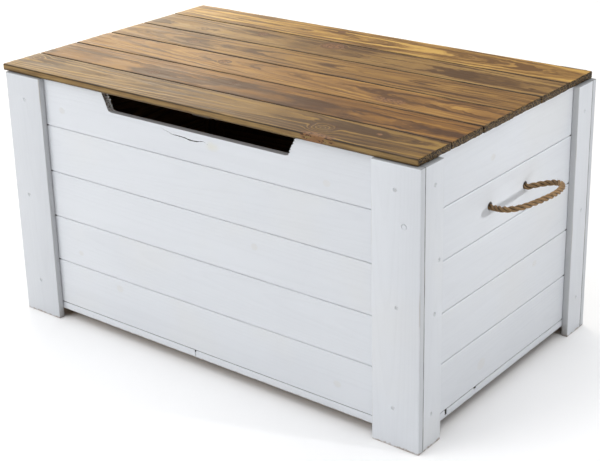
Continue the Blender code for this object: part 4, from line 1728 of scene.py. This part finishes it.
class BENCH_OT_stage(bpy.types.Operator):
    """Set the pale floor, the soft lights and the camera"""

    bl_idname = "bench.stage"
    bl_label = "Stage"

    def execute(self, context):
        stage = context.scene.bench_stage
        scene = context.scene
        scene.view_settings.view_transform = "Standard"
        deselect_all()
        bpy.ops.mesh.primitive_plane_add(size=40, location=(0, 0, 0))
        floor = name_new("floor")
        finish = Finish("studio_floor")
        mottle = finish.noise(finish.place, 3, 2, 1)
        colour = finish.shade(stage.floor, finish.spread(mottle, 0.3, 0.7, 0.99, 1.0))
        cover(floor, finish.close(colour, 0.9))

        world = bpy.data.worlds.new("studio")
        scene.world = world
        world.use_nodes = True
        ground = world.node_tree.nodes["Background"]
        ground.inputs["Color"].default_value = (1.0, 1.0, 1.0, 1.0)
        ground.inputs["Strength"].default_value = stage.sky

        for name, place, target, size, spread, tint in LAMPS:
            self.add_light(name, place, target, size, getattr(stage, name), spread, tint)

        bpy.ops.object.camera_add(
            location=(1.4469, -1.79935, 1.1469),
            rotation=[math.radians(turn) for turn in (69.91, 1.199, 37.92)],
        )
        camera = context.active_object
        camera.name = "camera"
        camera.data.lens = 81.07
        camera.data.sensor_width = 36
        camera.data.shift_x = -0.0065
        camera.data.shift_y = -0.1108
        scene.camera = camera
        return {"FINISHED"}

    def add_light(self, name, place, target, size, power, spread, tint):
        way = Vector(target) - Vector(place)
        bpy.ops.object.light_add(
            type="AREA", location=place, rotation=way.to_track_quat("-Z", "Y").to_euler()
        )
        light = bpy.context.active_object
        light.name = f"{name}_light"
        light.data.size = size
        light.data.energy = power
        light.data.color = tint
        light.data.spread = math.radians(spread)


# ---------------------------------------------------------------- panel and run

STEPS = (
    BENCH_OT_stage,
    BENCH_OT_cladding,
    BENCH_OT_posts,
    BENCH_OT_slot_board,
    BENCH_OT_strips,
    BENCH_OT_lid,
    BENCH_OT_handles,
    BENCH_OT_fittings,
    BENCH_OT_inside,
)
SETTINGS = (
    ("bench_paint", BenchPaint),
    ("bench_lid", BenchLid),
    ("bench_rope", BenchRope),
    ("bench_fittings", BenchFittings),
    ("bench_stage", BenchStage),
)


class BENCH_PT_panel(bpy.types.Panel):
    """Lists the bench's settings and pieces"""

    bl_idname = "BENCH_PT_panel"
    bl_label = "Storage bench"
    bl_space_type = "VIEW_3D"
    bl_region_type = "UI"
    bl_category = "Bench"

    def draw(self, context):
        for name, group in SETTINGS:
            box = self.layout.box()
            box.label(text=group.__name__.removeprefix("Bench"))
            for setting in group.__annotations__:
                box.prop(getattr(context.scene, name), setting)
        for step in STEPS:
            self.layout.operator(step.bl_idname)


def register():
    for name, group in SETTINGS:
        bpy.utils.register_class(group)
        setattr(bpy.types.Scene, name, bpy.props.PointerProperty(type=group))
    for each in (*STEPS, BENCH_PT_panel):
        bpy.utils.register_class(each)


def unregister():
    for each in (BENCH_PT_panel, *reversed(STEPS)):
        bpy.utils.unregister_class(each)
    for name, group in reversed(SETTINGS):
        delattr(bpy.types.Scene, name)
        bpy.utils.unregister_class(group)


def main():
    register()
    for step in STEPS:
        group, action = step.bl_idname.split(".")
        getattr(getattr(bpy.ops, group), action)()


if __name__ == "__main__":
    main()
